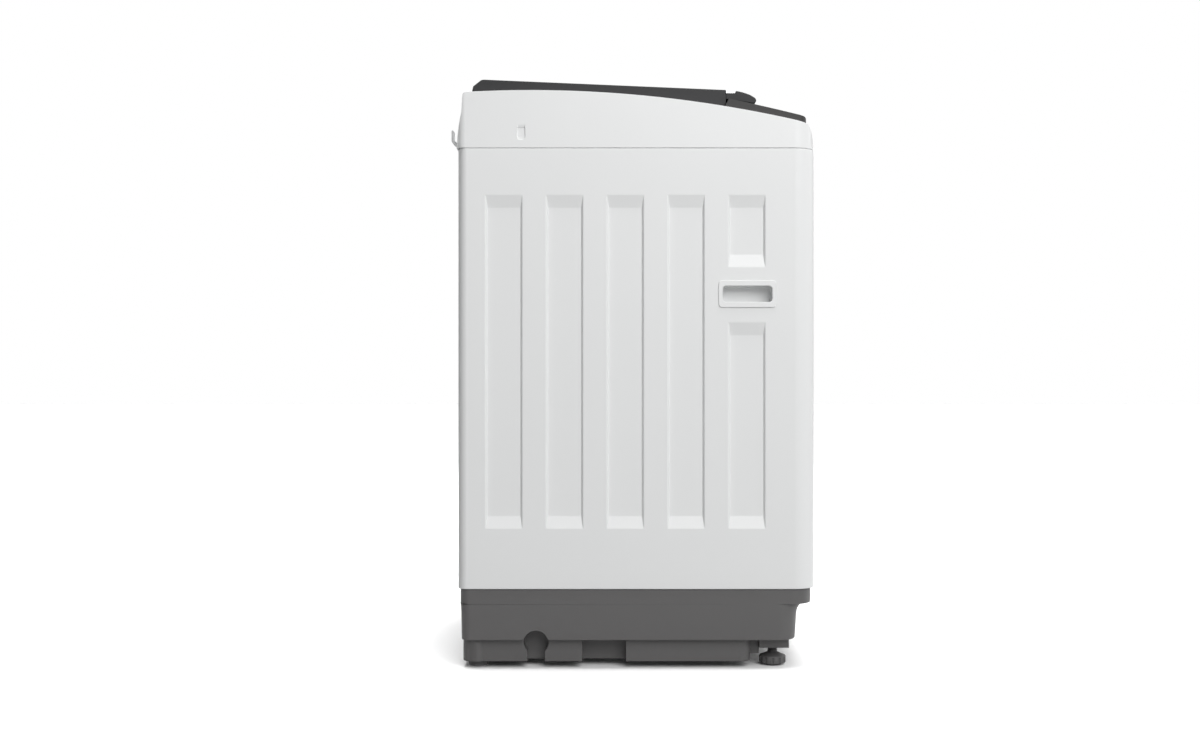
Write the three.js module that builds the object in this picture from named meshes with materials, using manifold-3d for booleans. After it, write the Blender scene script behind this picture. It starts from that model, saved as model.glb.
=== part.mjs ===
// A top load washing machine: millimetres, +Z up, the front faces -Y.
// The origin is under the middle of the machine, on the floor.
import * as THREE from 'three';
import { ConvexGeometry } from 'three/addons/geometries/ConvexGeometry.js';
import { mergeVertices } from 'three/addons/utils/BufferGeometryUtils.js';
import Module from 'manifold-3d';

const wasm = await Module();
wasm.setup();

// ---------------------------------------------------------------- dimensions

const GAP = 0.3; // between pieces that touch

// Steel cabinet.
const HALF_WIDTH = 275;
const FRONT = -293.5;
const REAR = 276.5;
const FRONT_RADIUS = 36;
const REAR_RADIUS = 15;
const CABINET_BOTTOM = 128.3;
const CABINET_TOP = 828;
const STEEL = 1.2;
const HEM = 14; // inward flange along the top and bottom edges
const REAR_OPENING = { half: 225, bottom: 150, top: 798 };
const REAR_PANEL = { half: 245, bottom: 136, top: 810, thickness: 1 };
const REAR_RIB = { width: 60, depth: 5, bottom: 200, top: 700, places: [-140, 0, 140] };
const GLAND = { x: 190, z: 770, radius: 8 };

// Grooves pressed into both sides.
const GROOVE = { pitch: 96.4, first: 203.1, count: 5, width: 58.5, floor: 53, depth: 4, ramp: 20 };
const GROOVE_BOTTOM = 224.2;
const GROOVE_TOP = 754.1;
const GRIP_GROOVE_BOTTOM = 639.5; // lower end of the groove over the grip
const GRIP_GROOVE_TOP = 551.7; // upper end of the groove under the grip

// Hand grips in both sides.
const GRIP = { y: -183.5, z: 597, length: 92, height: 43, proud: 1.5, depth: 30 };
const GRIP_SLOT = { length: 79, height: 26, radius: 5.5, wall: 1.5 };

// Plastic top cover. Its upper edge is a shallow arc that falls to the front.
const CROWN = 920.4;
const CROWN_Y = 161;
const CROWN_RADIUS = 1880;
const COVER_WALL = 3;
const COVER_BOTTOM = CABINET_TOP + GAP;
const RAIL = 10; // width of the edge beside the lid
const LEDGE_DROP = 6; // the ledge under the lid's sides
const WELL = { half: 215, front: -145, rear: 190, floor: 869 };
const TROUGH = { front: 225, rear: 261, floor: 909 };
const POCKET = { front: 169, rear: 182.4, bottom: 841, top: 867, depth: 2 };
const OPENING = { radius: 190, collar: 3.5, bottom: 845 };
const LIP = { half: 210, front: REAR + 0.4, rear: 279.2, bottom: 822, top: 834 };
const HOOK = { x0: -206, x1: -184 };
const BAY = { half: 255, front: -268, rear: -160, floor: 841 };

// Lid.
const LID_HALF = 263;
const LID_REAR = 254.6;
const LID_FRONT = -150.3;
const LID_REAR_TOP = 939.6;
const LID_SLOPE = 0.04278;
const LID_WALL = 3;
const LID_TOP_WALL = 7;
const LID_DROP = LEDGE_DROP - 2; // the lid's edge stays clear of the ledge
const HINGE = { y: 245, z: 923, pin: 3, ear: 243, earWidth: 6, earRadius: 5.5 };
const GLASS = { half: 205, front: -112, rear: 196, thickness: 4 };

// Control panel.
const PANEL_HALF = 272;
const PANEL_REAR = -154.4;
const PANEL_TOP = 907.5;
const PANEL_WALL = 3;
const FASCIA_Y = -241; // middle of the row of buttons
const BUTTON = { proud: 1.6, flange: 2, gap: 0.4 };
const BUTTONS = [
  ['power_button', -205, 12],
  ['water_level_button', -150, 9],
  ['temperature_button', -110, 9],
  ['program_button', 110, 9],
  ['delay_button', 150, 9],
  ['start_button', 205, 12],
];
const DISPLAY = { half: 72, front: -15, rear: 15, thickness: 2 };

const SENSOR = { x: 225, y: -190, z: 842 };
const SWITCH = { x0: 222, x1: 244, front: 120, rear: 160, bottom: 882, top: 904 };

// Detergent drawer and water inlet.
const DRAWER = { half: 58, bottom: 876, top: 900, front: 184, rear: 250, wall: 2 };
const VALVE = { x: 145, z: 862, spigot: 13 };

// Plastic base.
const BASE_HALF = 272.5;
const BASE_FRONT = -288.5;
const BASE_REAR = 273.3;
const BASE_WALL = 3.5;
const TOE_TOP = 104;
const TOE_FRONT = -266;
const RIM_BOTTOM = 46.5;
const SKIRT_BOTTOM = 10.7;
const SKIRT = { half: 260, front: -191, rear: 270, wall: 4 };
const SKIRT_RECESS = { front: 9, rear: 79, depth: 12 };
const HOSE_NOTCH = { y: 150.8, z: 42, radius: 20, neck: 25 };
const FRONT_FOOT = { x: 225, y: -229, pad: 21.5, bottom: 15, stem: 8 };
const REAR_FOOT = { x: 230, y: 247.5, pad: 15.5, height: 8 };

// Tub, basket and drive, on one upright axis.
const AXIS_Y = -8.5;
const TUB = { radius: 243, bottom: 310, top: 770, wall: 3 };
const LUG = { bottom: 355, thickness: 10, width: 44 };
const ROD = { x: 222, y: 232, radius: 4, bottom: 255, seat: 814 };
const SPRING = { radius: 17, wire: 4 };
const BASKET = { radius: 222, bottom: 345, top: 705, wall: 2 };
const BALANCE = { inner: 190, outer: 224, height: 45 };
const PULSATOR = { radius: 185, base: 352, blades: 6 };
const SPLASH_RING = { inner: 197, height: 30 };
const CLUTCH = { bottom: 200, top: 305 };
const PULLEY = { shaft: 160, bottom: 168, top: 186, belt: 172 };
const MOTOR_OFFSET = 150;
const MOTOR_Y = AXIS_Y + MOTOR_OFFSET;
const DRIVE_PULLEY = 70;
const MOTOR_PULLEY = 24;
const BELT = { thickness: 4, width: 10 };
const DRAIN = { x: -120, y: 90, bottom: 258 };

// ------------------------------------------------------------------ finishes

const FINISHES = {
  painted_steel: { color: 0xdcdddd, roughness: 0.4, metalness: 0.1 },
  white_plastic: { color: 0xe7e8e8, roughness: 0.4, metalness: 0 },
  dark_plastic: { color: 0x444444, roughness: 0.45, metalness: 0 },
  panel_plastic: { color: 0x504f4f, roughness: 0.4, metalness: 0 },
  base_plastic: { color: 0x5c5b5b, roughness: 0.55, metalness: 0 },
  smoked_glass: { color: 0x2c2d2f, roughness: 0.08, metalness: 0 },
  button_plastic: { color: 0xb9bbbd, roughness: 0.35, metalness: 0.6 },
  chrome: { color: 0xe2e3e4, roughness: 0.12, metalness: 1 },
  stainless: { color: 0xc6c8ca, roughness: 0.25, metalness: 1 },
  zinc_steel: { color: 0xa9acae, roughness: 0.4, metalness: 1 },
  cast_aluminium: { color: 0xb2b4b6, roughness: 0.5, metalness: 1 },
  tub_plastic: { color: 0xc9cbc8, roughness: 0.55, metalness: 0 },
  pulsator_plastic: { color: 0x8f9499, roughness: 0.4, metalness: 0 },
  rubber: { color: 0x2b2b2b, roughness: 0.8, metalness: 0 },
  circuit_board: { color: 0x2f5a3a, roughness: 0.6, metalness: 0 },
};

// ------------------------------------------------------------ shapes, solids

function solid(geometry) {
  const bare = geometry.index ? geometry.toNonIndexed() : geometry.clone();
  bare.deleteAttribute('normal');
  bare.deleteAttribute('uv');
  const merged = mergeVertices(bare, 1e-4);
  const corners = [];
  const index = merged.index.array;
  for (let i = 0; i < index.length; i += 3) {
    const [a, b, c] = index.slice(i, i + 3);
    if (a !== b && b !== c && c !== a) corners.push(a, b, c);
  }
  const vertProperties = new Float32Array(merged.attributes.position.array);
  const triVerts = new Uint32Array(corners);
  const body = new wasm.Manifold(new wasm.Mesh({ numProp: 3, vertProperties, triVerts }));
  if (body.volume() > 0) return body;
  const turnedOver = new Uint32Array(corners.reverse());
  return new wasm.Manifold(new wasm.Mesh({ numProp: 3, vertProperties, triVerts: turnedOver }));
}

function asSolid(shape) {
  return shape instanceof wasm.Manifold ? shape : solid(shape);
}

function join(first, ...others) {
  return others.reduce((body, other) => body.add(asSolid(other)), asSolid(first));
}

function cut(first, ...tools) {
  return tools.reduce((body, tool) => body.subtract(asSolid(tool)), asSolid(first));
}

function common(first, second) {
  return asSolid(first).intersect(asSolid(second));
}

function mirrored(body) {
  return asSolid(body).mirror([1, 0, 0]);
}

function surface(body) {
  const mesh = body.getMesh();
  const geometry = new THREE.BufferGeometry();
  geometry.setAttribute('position', new THREE.BufferAttribute(mesh.vertProperties, 3));
  geometry.setIndex(new THREE.BufferAttribute(mesh.triVerts, 1));
  geometry.computeVertexNormals();
  return geometry;
}

function block(x0, x1, y0, y1, z0, z1) {
  const geometry = new THREE.BoxGeometry(x1 - x0, y1 - y0, z1 - z0);
  return geometry.translate((x0 + x1) / 2, (y0 + y1) / 2, (z0 + z1) / 2);
}

function outlineShape(points) {
  return new THREE.Shape(points.map(([u, v]) => new THREE.Vector2(u, v)));
}

function roundedShape(u0, u1, v0, v1, lowRadius, highRadius = lowRadius) {
  const shape = new THREE.Shape();
  shape.moveTo(u0 + lowRadius, v0);
  shape.absarc(u1 - lowRadius, v0 + lowRadius, lowRadius, -Math.PI / 2, 0);
  shape.absarc(u1 - highRadius, v1 - highRadius, highRadius, 0, Math.PI / 2);
  shape.absarc(u0 + highRadius, v1 - highRadius, highRadius, Math.PI / 2, Math.PI);
  shape.absarc(u0 + lowRadius, v0 + lowRadius, lowRadius, Math.PI, Math.PI * 1.5);
  return shape;
}

function extruded(shape, depth, segments = 3) {
  return new THREE.ExtrudeGeometry(shape, { depth, bevelEnabled: false, curveSegments: segments });
}

const ALONG_X = new THREE.Matrix4().makeBasis(
  new THREE.Vector3(0, 1, 0), new THREE.Vector3(0, 0, 1), new THREE.Vector3(1, 0, 0),
);
const ALONG_Y = new THREE.Matrix4().makeBasis(
  new THREE.Vector3(1, 0, 0), new THREE.Vector3(0, 0, 1), new THREE.Vector3(0, -1, 0),
);

// A shape in Y and Z, drawn out along X.
function alongX(shape, x0, x1, segments) {
  return extruded(shape, x1 - x0, segments).applyMatrix4(ALONG_X).translate(x0, 0, 0);
}

// A shape in X and Z, drawn out along Y.
function alongY(shape, y0, y1, segments) {
  return extruded(shape, y1 - y0, segments).applyMatrix4(ALONG_Y).translate(0, y1, 0);
}

// A shape in X and Y, drawn out along Z.
function alongZ(shape, z0, z1, segments) {
  return extruded(shape, z1 - z0, segments).translate(0, 0, z0);
}

// A ring or disc turned from a closed outline of [radius, height] points.
function turned(outline, sides = 28, x = 0, y = AXIS_Y) {
  const points = [...outline, outline[0]].map(([r, z]) => new THREE.Vector2(r, z));
  return new THREE.LatheGeometry(points, sides).rotateX(Math.PI / 2).translate(x, y, 0);
}

function cylinder(radius, z0, z1, x, y, sides = 20) {
  const geometry = new THREE.CylinderGeometry(radius, radius, z1 - z0, sides);
  return geometry.rotateX(Math.PI / 2).translate(x, y, (z0 + z1) / 2);
}

function cylinderX(radius, x0, x1, y, z, sides = 20) {
  const geometry = new THREE.CylinderGeometry(radius, radius, x1 - x0, sides);
  return geometry.rotateZ(Math.PI / 2).translate((x0 + x1) / 2, y, z);
}

function cylinderY(radius, y0, y1, x, z, sides = 20) {
  const geometry = new THREE.CylinderGeometry(radius, radius, y1 - y0, sides);
  return geometry.translate(x, (y0 + y1) / 2, z);
}

function sampled(from, to, steps, height) {
  const points = [];
  for (let i = 0; i <= steps; i += 1) {
    const y = from + (to - from) * i / steps;
    points.push([y, height(y)]);
  }
  return points;
}

const machine = new THREE.Group();

function add(name, finish, body, parent = machine) {
  const material = new THREE.MeshStandardMaterial(FINISHES[finish]);
  const mesh = new THREE.Mesh(surface(asSolid(body)), material);
  mesh.name = name;
  parent.add(mesh);
}

function machinePlan(inset = 0) {
  return roundedShape(
    -HALF_WIDTH + inset, HALF_WIDTH - inset, FRONT + inset, REAR - inset,
    FRONT_RADIUS - inset, REAR_RADIUS - inset,
  );
}

// ------------------------------------------------------------------- cabinet

function groove(y, z0, z1, grow) {
  const outside = HALF_WIDTH + 2;
  const floor = HALF_WIDTH - GROOVE.depth - grow;
  const slope = (outside - floor) / (GROOVE.depth + 2);
  const points = [];
  for (const [x, width, ramp] of [
    [outside, GROOVE.width / 2 + 1.4 + grow, -2 * GROOVE.ramp / GROOVE.depth * slope],
    [floor, GROOVE.floor / 2 + grow, GROOVE.ramp - grow],
  ]) {
    for (const dy of [-width, width]) {
      points.push(new THREE.Vector3(x, y + dy, z0 + ramp));
      points.push(new THREE.Vector3(x, y + dy, z1 - ramp));
    }
  }
  return new ConvexGeometry(points);
}

function grooveSpans() {
  const spans = [];
  for (let i = 0; i < GROOVE.count; i += 1) {
    const y = GROOVE.first - i * GROOVE.pitch;
    const last = i === GROOVE.count - 1;
    if (last) {
      spans.push([y, GROOVE_BOTTOM, GRIP_GROOVE_TOP], [y, GRIP_GROOVE_BOTTOM, GROOVE_TOP]);
    } else {
      spans.push([y, GROOVE_BOTTOM, GROOVE_TOP]);
    }
  }
  return spans;
}

function gusset(sideX, sideY) {
  const reach = 130;
  const x = sideX * (HALF_WIDTH - STEEL / 2);
  const y = sideY > 0 ? REAR - STEEL / 2 : FRONT + STEEL / 2;
  const corner = outlineShape([[x, y], [x - sideX * reach, y], [x, y - sideY * reach]]);
  return common(
    alongZ(corner, ROD.seat - 2, ROD.seat),
    alongZ(machinePlan(STEEL / 2), ROD.seat - 3, ROD.seat + 1),
  );
}

function cabinetShell() {
  let outside = asSolid(alongZ(machinePlan(), CABINET_BOTTOM, CABINET_TOP));
  let inside = asSolid(alongZ(machinePlan(STEEL), CABINET_BOTTOM + STEEL, CABINET_TOP - STEEL));
  for (const [y, z0, z1] of grooveSpans()) {
    const pressed = asSolid(groove(y, z0, z1, 0));
    const backed = asSolid(groove(y, z0, z1, STEEL));
    outside = cut(outside, pressed, mirrored(pressed));
    inside = cut(inside, backed, mirrored(backed));
  }
  let shell = cut(outside, inside, alongZ(machinePlan(HEM), CABINET_BOTTOM - 1, CABINET_TOP + 1));
  for (const sideX of [-1, 1]) {
    for (const sideY of [-1, 1]) {
      const hole = cylinder(
        ROD.radius * 2, ROD.seat - 4, ROD.seat + 2, sideX * ROD.x, AXIS_Y + sideY * ROD.y, 16,
      );
      shell = cut(join(shell, gusset(sideX, sideY)), hole);
    }
  }
  const slot = GRIP_SLOT.wall + GAP;
  const gripHole = block(
    -HALF_WIDTH - 5, HALF_WIDTH + 5,
    GRIP.y - GRIP_SLOT.length / 2 - slot, GRIP.y + GRIP_SLOT.length / 2 + slot,
    GRIP.z - GRIP_SLOT.height / 2 - slot, GRIP.z + GRIP_SLOT.height / 2 + slot,
  );
  const { half, bottom, top } = REAR_OPENING;
  const rearHole = block(-half, half, REAR - 5, REAR + 5, bottom, top);
  return cut(shell, gripHole, rearHole);
}

function rearPanel() {
  const rear = REAR - STEEL - GAP;
  const { half, bottom, top, thickness } = REAR_PANEL;
  let panel = asSolid(block(-half, half, rear - thickness, rear, bottom, top));
  const rib = (x, inset, y0, y1) => block(
    x - REAR_RIB.width / 2 + inset, x + REAR_RIB.width / 2 - inset, y0, y1,
    REAR_RIB.bottom + inset, REAR_RIB.top - inset,
  );
  for (const x of REAR_RIB.places) {
    panel = join(panel, rib(x, 0, rear - REAR_RIB.depth - thickness, rear - thickness / 2));
    panel = cut(panel, rib(x, thickness, rear - REAR_RIB.depth, rear + 1));
  }
  return cut(panel, cylinderY(GLAND.radius + 0.5, rear - 4, rear + 2, GLAND.x, GLAND.z));
}

function cordGland() {
  const rear = REAR - STEEL - GAP;
  const body = join(
    cylinderY(GLAND.radius + 5, rear + GAP, rear + 3, GLAND.x, GLAND.z),
    cylinderY(GLAND.radius, rear - 8, rear + 1, GLAND.x, GLAND.z),
  );
  return cut(body, cylinderY(4, rear - 10, rear + 5, GLAND.x, GLAND.z));
}

function grip() {
  const slot = (grow) => roundedShape(
    GRIP.y - GRIP_SLOT.length / 2 - grow, GRIP.y + GRIP_SLOT.length / 2 + grow,
    GRIP.z - GRIP_SLOT.height / 2 - grow, GRIP.z + GRIP_SLOT.height / 2 + grow,
    GRIP_SLOT.radius,
  );
  const bezel = roundedShape(
    GRIP.y - GRIP.length / 2, GRIP.y + GRIP.length / 2,
    GRIP.z - GRIP.height / 2, GRIP.z + GRIP.height / 2, 6,
  );
  const face = HALF_WIDTH + GRIP.proud;
  const bottom = HALF_WIDTH - GRIP.depth;
  const body = join(
    alongX(bezel, HALF_WIDTH + GAP, face),
    alongX(slot(GRIP_SLOT.wall), bottom, face - 0.5),
  );
  return cut(body, alongX(slot(0), bottom + GRIP_SLOT.wall, face + 1));
}

// ---------------------------------------------------------------------- base

function basePlan(front, radius, inset = 0) {
  return roundedShape(
    -BASE_HALF + inset, BASE_HALF - inset, front + inset, BASE_REAR - inset,
    Math.max(radius - inset, 1), Math.max(REAR_RADIUS - inset, 1),
  );
}

function skirtPlan(inset) {
  return roundedShape(
    -SKIRT.half + inset, SKIRT.half - inset, SKIRT.front + inset, SKIRT.rear - inset,
    18 - inset, 14 - inset,
  );
}

function baseFrame() {
  const top = CABINET_BOTTOM - GAP;
  let base = join(
    alongZ(basePlan(BASE_FRONT, FRONT_RADIUS), TOE_TOP, top),
    alongZ(basePlan((BASE_FRONT + TOE_FRONT) / 2, 32), TOE_TOP - 6, TOE_TOP + 1),
    alongZ(basePlan(TOE_FRONT, 30), RIM_BOTTOM, TOE_TOP + 1),
    alongZ(skirtPlan(0), SKIRT_BOTTOM, RIM_BOTTOM + 1),
  );
  base = cut(
    base,
    alongZ(basePlan(TOE_FRONT, 30, BASE_WALL), RIM_BOTTOM + 3, top - 3),
    alongZ(basePlan(TOE_FRONT, 32, 26), RIM_BOTTOM + 4, top + 1),
    alongZ(skirtPlan(SKIRT.wall), SKIRT_BOTTOM - 1, RIM_BOTTOM + 5),
  );
  for (const side of [-1, 1]) {
    const recessOuter = side * (SKIRT.half + 2);
    const recessInner = side * (SKIRT.half - SKIRT_RECESS.depth);
    const backInner = recessInner - side * SKIRT.wall;
    const recess = (a, b, grow) => block(
      Math.min(a, b), Math.max(a, b), SKIRT_RECESS.front - grow, SKIRT_RECESS.rear + grow,
      SKIRT_BOTTOM - 1 + grow / 4, RIM_BOTTOM,
    );
    base = join(base, recess(recessOuter - side * 3, backInner, SKIRT.wall));
    base = cut(base, recess(recessOuter, recessInner, 0));
    const boss = cylinder(15, 34, 70, side * FRONT_FOOT.x, FRONT_FOOT.y, 16);
    const pillar = cylinder(22, SKIRT_BOTTOM, 60, side * REAR_FOOT.x, REAR_FOOT.y, 16);
    base = join(base, boss, pillar);
    base = cut(
      base,
      cylinder(FRONT_FOOT.stem + 0.6, 20, 80, side * FRONT_FOOT.x, FRONT_FOOT.y, 16),
      cylinder(4.5, 0, 40, side * REAR_FOOT.x, REAR_FOOT.y, 12),
    );
  }
  base = cut(base, block(-300, 300, -300, 300, 0, SKIRT_BOTTOM));
  return cut(
    base,
    cylinderX(HOSE_NOTCH.radius, -BASE_HALF - 5, -235, HOSE_NOTCH.y, HOSE_NOTCH.z, 24),
    block(
      -BASE_HALF - 5, -235,
      HOSE_NOTCH.y - HOSE_NOTCH.neck / 2, HOSE_NOTCH.y + HOSE_NOTCH.neck / 2,
      0, HOSE_NOTCH.z,
    ),
  );
}

function rearFoot(side) {
  const x = side * REAR_FOOT.x;
  const { y, pad, height } = REAR_FOOT;
  return join(
    cylinder(pad, 0, height, x, y),
    cylinder(pad - 4, height - 1, SKIRT_BOTTOM - GAP, x, y),
    cylinder(4, height - 1, 30, x, y, 12),
  );
}

function frontFoot(side) {
  const x = side * FRONT_FOOT.x;
  const { y, pad, bottom, stem } = FRONT_FOOT;
  const foot = turned([
    [0, 0], [bottom - 1, 0], [bottom, 1], [bottom, 3], [pad, 4], [pad, 14], [pad - 3, 16],
    [stem + 3, 19], [stem, 20], [stem, 60], [0, 60],
  ], 16, x, y);
  let knurled = asSolid(foot);
  const notches = 8;
  for (let i = 0; i < notches; i += 1) {
    const angle = i / notches * Math.PI * 2;
    knurled = cut(knurled, cylinder(
      2, 3.5, 17, x + (pad + 0.6) * Math.cos(angle), y + (pad + 0.6) * Math.sin(angle), 6,
    ));
  }
  return knurled;
}

// ----------------------------------------------------------------- top cover

function coverTop(y) {
  return CROWN - (y - CROWN_Y) ** 2 / (2 * CROWN_RADIUS);
}

function coverProfile(inset) {
  const front = sampled(-276 + inset, 262 - inset, 12, (y) => coverTop(y) - inset);
  return outlineShape([
    [-292.8 + inset, COVER_BOTTOM - inset * 2],
    [-290.4 + inset, 845],
    [-285.8 + inset, 862 - inset],
    [-281.5 + inset, 868 - inset],
    ...front,
    [267 - inset, 917 - inset],
    [268.9 - inset, 913 - inset],
    [270.8 - inset, 887],
    [273.8 - inset, 872],
    [276.8 - inset, 854],
    [279.4 - inset, COVER_BOTTOM - inset * 2],
  ]);
}

function coverPlan(inset) {
  return roundedShape(
    -HALF_WIDTH + inset, HALF_WIDTH - inset, -292.8 + inset, 279.4 - inset,
    FRONT_RADIUS - inset, REAR_RADIUS - inset,
  );
}

function aboveCurve(y0, y1, steps, height, top = 960) {
  return outlineShape([[y0, top], ...sampled(y0, y1, steps, height), [y1, top]]);
}

function openingShape(radius) {
  const shape = new THREE.Shape();
  const front = WELL.front + 6;
  const angle = Math.asin((front - AXIS_Y) / radius);
  shape.absarc(0, AXIS_Y, radius, angle, Math.PI - angle);
  return shape;
}

function topCover() {
  const wall = COVER_WALL;
  const outside = common(
    alongX(coverProfile(0), -HALF_WIDTH, HALF_WIDTH),
    alongZ(coverPlan(0), COVER_BOTTOM, 930, 4),
  );
  const inside = common(
    alongX(coverProfile(wall), -HALF_WIDTH, HALF_WIDTH),
    alongZ(coverPlan(wall), COVER_BOTTOM - 1, 930, 4),
  );
  const ledge = (drop) => alongX(
    aboveCurve(-152, TROUGH.rear, 12, (y) => coverTop(y) - drop),
    -HALF_WIDTH + RAIL, HALF_WIDTH - RAIL,
  );
  const trough = (grow) => block(
    -HALF_WIDTH + RAIL - grow, HALF_WIDTH - RAIL + grow,
    TROUGH.front - grow, TROUGH.rear + grow * 3, TROUGH.floor - grow, 960,
  );
  const well = (grow) => block(
    -WELL.half - grow, WELL.half + grow, WELL.front - grow, WELL.rear + grow,
    WELL.floor - grow, 960,
  );
  const bay = (grow) => block(
    -BAY.half - grow, BAY.half + grow, BAY.front - grow, BAY.rear + grow, BAY.floor - grow, 960,
  );
  const collar = alongZ(
    openingShape(OPENING.radius + OPENING.collar), OPENING.bottom, WELL.floor, 7,
  );
  const hollow = cut(
    inside,
    cut(ledge(LEDGE_DROP + wall), ledge(LEDGE_DROP)),
    trough(wall), well(wall), bay(wall), collar,
  );
  const lip = block(-LIP.half, LIP.half, LIP.front, LIP.rear, LIP.bottom, LIP.top);
  let cover = join(cut(outside, hollow), lip);
  cover = cut(
    cover, ledge(LEDGE_DROP), trough(0), well(0), bay(0),
    alongZ(openingShape(OPENING.radius), OPENING.bottom - 5, WELL.floor + 1, 7),
  );
  const ears = [-1, 1].map((side) => hingeEar(side));
  cover = join(cover, ...ears);
  const pocket = alongX(
    roundedShape(POCKET.front, POCKET.rear, POCKET.bottom, POCKET.top, 6.5, 0.5),
    HALF_WIDTH - POCKET.depth, HALF_WIDTH + POCKET.depth,
  );
  const drawerHole = block(
    -DRAWER.half - 2, DRAWER.half + 2, WELL.rear - 2, WELL.rear + 5,
    DRAWER.bottom - 1.5, DRAWER.top + 2,
  );
  return cut(
    cover, pocket, mirrored(pocket), drawerHole,
    cylinderY(VALVE.spigot + 4, 255, 290, VALVE.x, VALVE.z),
  );
}

function hingeEar(side) {
  const x0 = side * HINGE.ear - HINGE.earWidth / 2;
  const x1 = side * HINGE.ear + HINGE.earWidth / 2;
  const { y, z, earRadius } = HINGE;
  return cut(
    join(
      cylinderX(earRadius, x0, x1, y, z, 16),
      block(x0, x1, y - earRadius, y + earRadius, TROUGH.floor - 1, z),
    ),
    cylinderX(HINGE.pin + 0.5, x0 - 1, x1 + 1, y, z, 16),
  );
}

function hoseHook() {
  const profile = outlineShape([
    [279.4, 833], [281.6, 833], [282.6, 839], [293.5, 850], [293.5, 868], [292.5, 869],
    [291, 869], [290, 868], [290, 852.5], [280.5, 846], [279, 846],
  ]);
  const face = common(alongX(coverProfile(-GAP), -300, 300), block(-300, 300, 200, 300, 828, 900));
  return cut(alongX(profile, HOOK.x0, HOOK.x1), face);
}

// ------------------------------------------------------------- detergent box

function detergentDrawer() {
  const { half, bottom, top, front, rear, wall } = DRAWER;
  const body = join(
    block(-half - 5, half + 5, front, front + 4, bottom - 4, top + 5),
    block(-half, half, front + 3, rear, bottom, top),
  );
  const soap = block(-half + wall, 8, front + 4 + wall, rear - wall, bottom + wall, top + 1);
  const softener = block(10, half - wall, front + 4 + wall, rear - wall, bottom + wall, top + 1);
  const pull = block(-22, 22, front - 1, front + 2, top - 7, top + 6);
  return cut(body, soap, softener, pull);
}

function dispenserHousing() {
  const { half, bottom, top, rear } = DRAWER;
  const front = WELL.rear + COVER_WALL + GAP;
  const body = block(-half - 5, half + 5, front, rear + 5, bottom - 5, top + 5);
  const inside = block(-half - 2, half + 2, front - 1, rear + 2, bottom - 2, top + 2);
  const drain = block(-20, 20, front + 10, front + 30, bottom - 6, bottom);
  return cut(body, inside, drain);
}

function inletValve() {
  const { x, z, spigot } = VALVE;
  return cut(
    join(
      block(x - 23, x + 23, 212, 244, z - 18, z + 18),
      cylinderY(spigot, 243, 274, x, z, 24),
      cylinderX(8, DRAWER.half + 5 + GAP, x - 20, 228, z + 8, 16),
    ),
    cylinderY(spigot - 4, 250, 276, x, z, 24),
  );
}

// ------------------------------------------------------------- control panel

function panelTop(y) {
  const run = PANEL_REAR - y;
  return PANEL_TOP - 0.2076 * run - 0.000179 * run ** 2;
}

const FASCIA_TILT = Math.atan(0.2076 + 2 * 0.000179 * (PANEL_REAR - FASCIA_Y));
const FASCIA_PLACE = new THREE.Vector3(0, FASCIA_Y, panelTop(FASCIA_Y));
const fascia = new THREE.Group();
fascia.position.copy(FASCIA_PLACE);
fascia.rotation.x = FASCIA_TILT;
machine.add(fascia);
fascia.updateMatrix();

function onFascia(geometry) {
  return geometry.applyMatrix4(fascia.matrix);
}

function controlPanel() {
  const top = sampled(PANEL_REAR, -267.2, 8, panelTop);
  const bottom = sampled(-278.8, -148.9, 8, (y) => coverTop(y) + GAP);
  const profile = outlineShape([
    ...bottom, [-148.9, 897.2], ...top, [-273, 879.4], [-276.8, 876.6], [-278.8, 872.4],
  ]);
  const plan = roundedShape(
    -PANEL_HALF, PANEL_HALF, -278.8, -140, FRONT_RADIUS - 12, 0.5,
  );
  const outside = common(alongX(profile, -PANEL_HALF, PANEL_HALF), alongZ(plan, 840, 930, 3));
  const hollow = outlineShape([
    [-274, 830], [-151.5, 830], ...sampled(PANEL_REAR - 3, -268, 8, (y) => panelTop(y) - PANEL_WALL),
    [-274, 872],
  ]);
  const inside = alongX(hollow, -BAY.half - 8, BAY.half + 8);
  const scoop = outlineShape([
    [-145, 894], ...sampled(-153, -205, 5, (y) => panelTop(y) - 14), [-219, 895], [-222, 960],
    [-145, 960],
  ]);
  const scoopFloor = common(
    alongX(outlineShape([
      [-145, 891], ...sampled(-153, -205, 5, (y) => panelTop(y) - 17), [-222.5, 888],
      [-222.5, 960], [-145, 960],
    ]), -78, 78),
    outside,
  );
  let panel = join(cut(outside, inside), scoopFloor);
  panel = cut(panel, alongX(scoop, -75, 75));
  for (const [, x, radius] of BUTTONS) {
    panel = cut(panel, onFascia(cylinder(radius + BUTTON.gap, -8, 5, x, 0, 12)));
  }
  const { half, front, rear, thickness } = DISPLAY;
  return cut(panel, onFascia(block(
    -half - GAP, half + GAP, front - GAP, rear + GAP, -thickness, 5,
  )));
}

function button(x, radius) {
  return turned([
    [0, BUTTON.proud], [radius - 1, BUTTON.proud], [radius, BUTTON.proud - 1],
    [radius, -PANEL_WALL - 1], [radius + BUTTON.flange, -PANEL_WALL - 1],
    [radius + BUTTON.flange, -PANEL_WALL - 2.2], [3, -PANEL_WALL - 2.2], [3, -8], [0, -8],
  ], 12, x, 0);
}

function controlBoard() {
  let board = asSolid(block(-225, 225, -22, 15, -14, -12.4));
  for (const [x, y, width] of [[-60, 2, 22], [40, 4, 30], [130, -10, 18], [-130, 4, 16]]) {
    board = join(board, block(x - width / 2, x + width / 2, y - 8, y + 8, -22, -13));
  }
  return board;
}

function waterLevelSensor() {
  const { x, y, z } = SENSOR;
  return join(
    cylinder(20, z, z + 14, x, y, 24),
    cylinder(5, z + 13, z + 20, x, y, 12),
    block(x - 4, x + 4, y - 24, y, z + 4, z + 10),
  );
}

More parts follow.
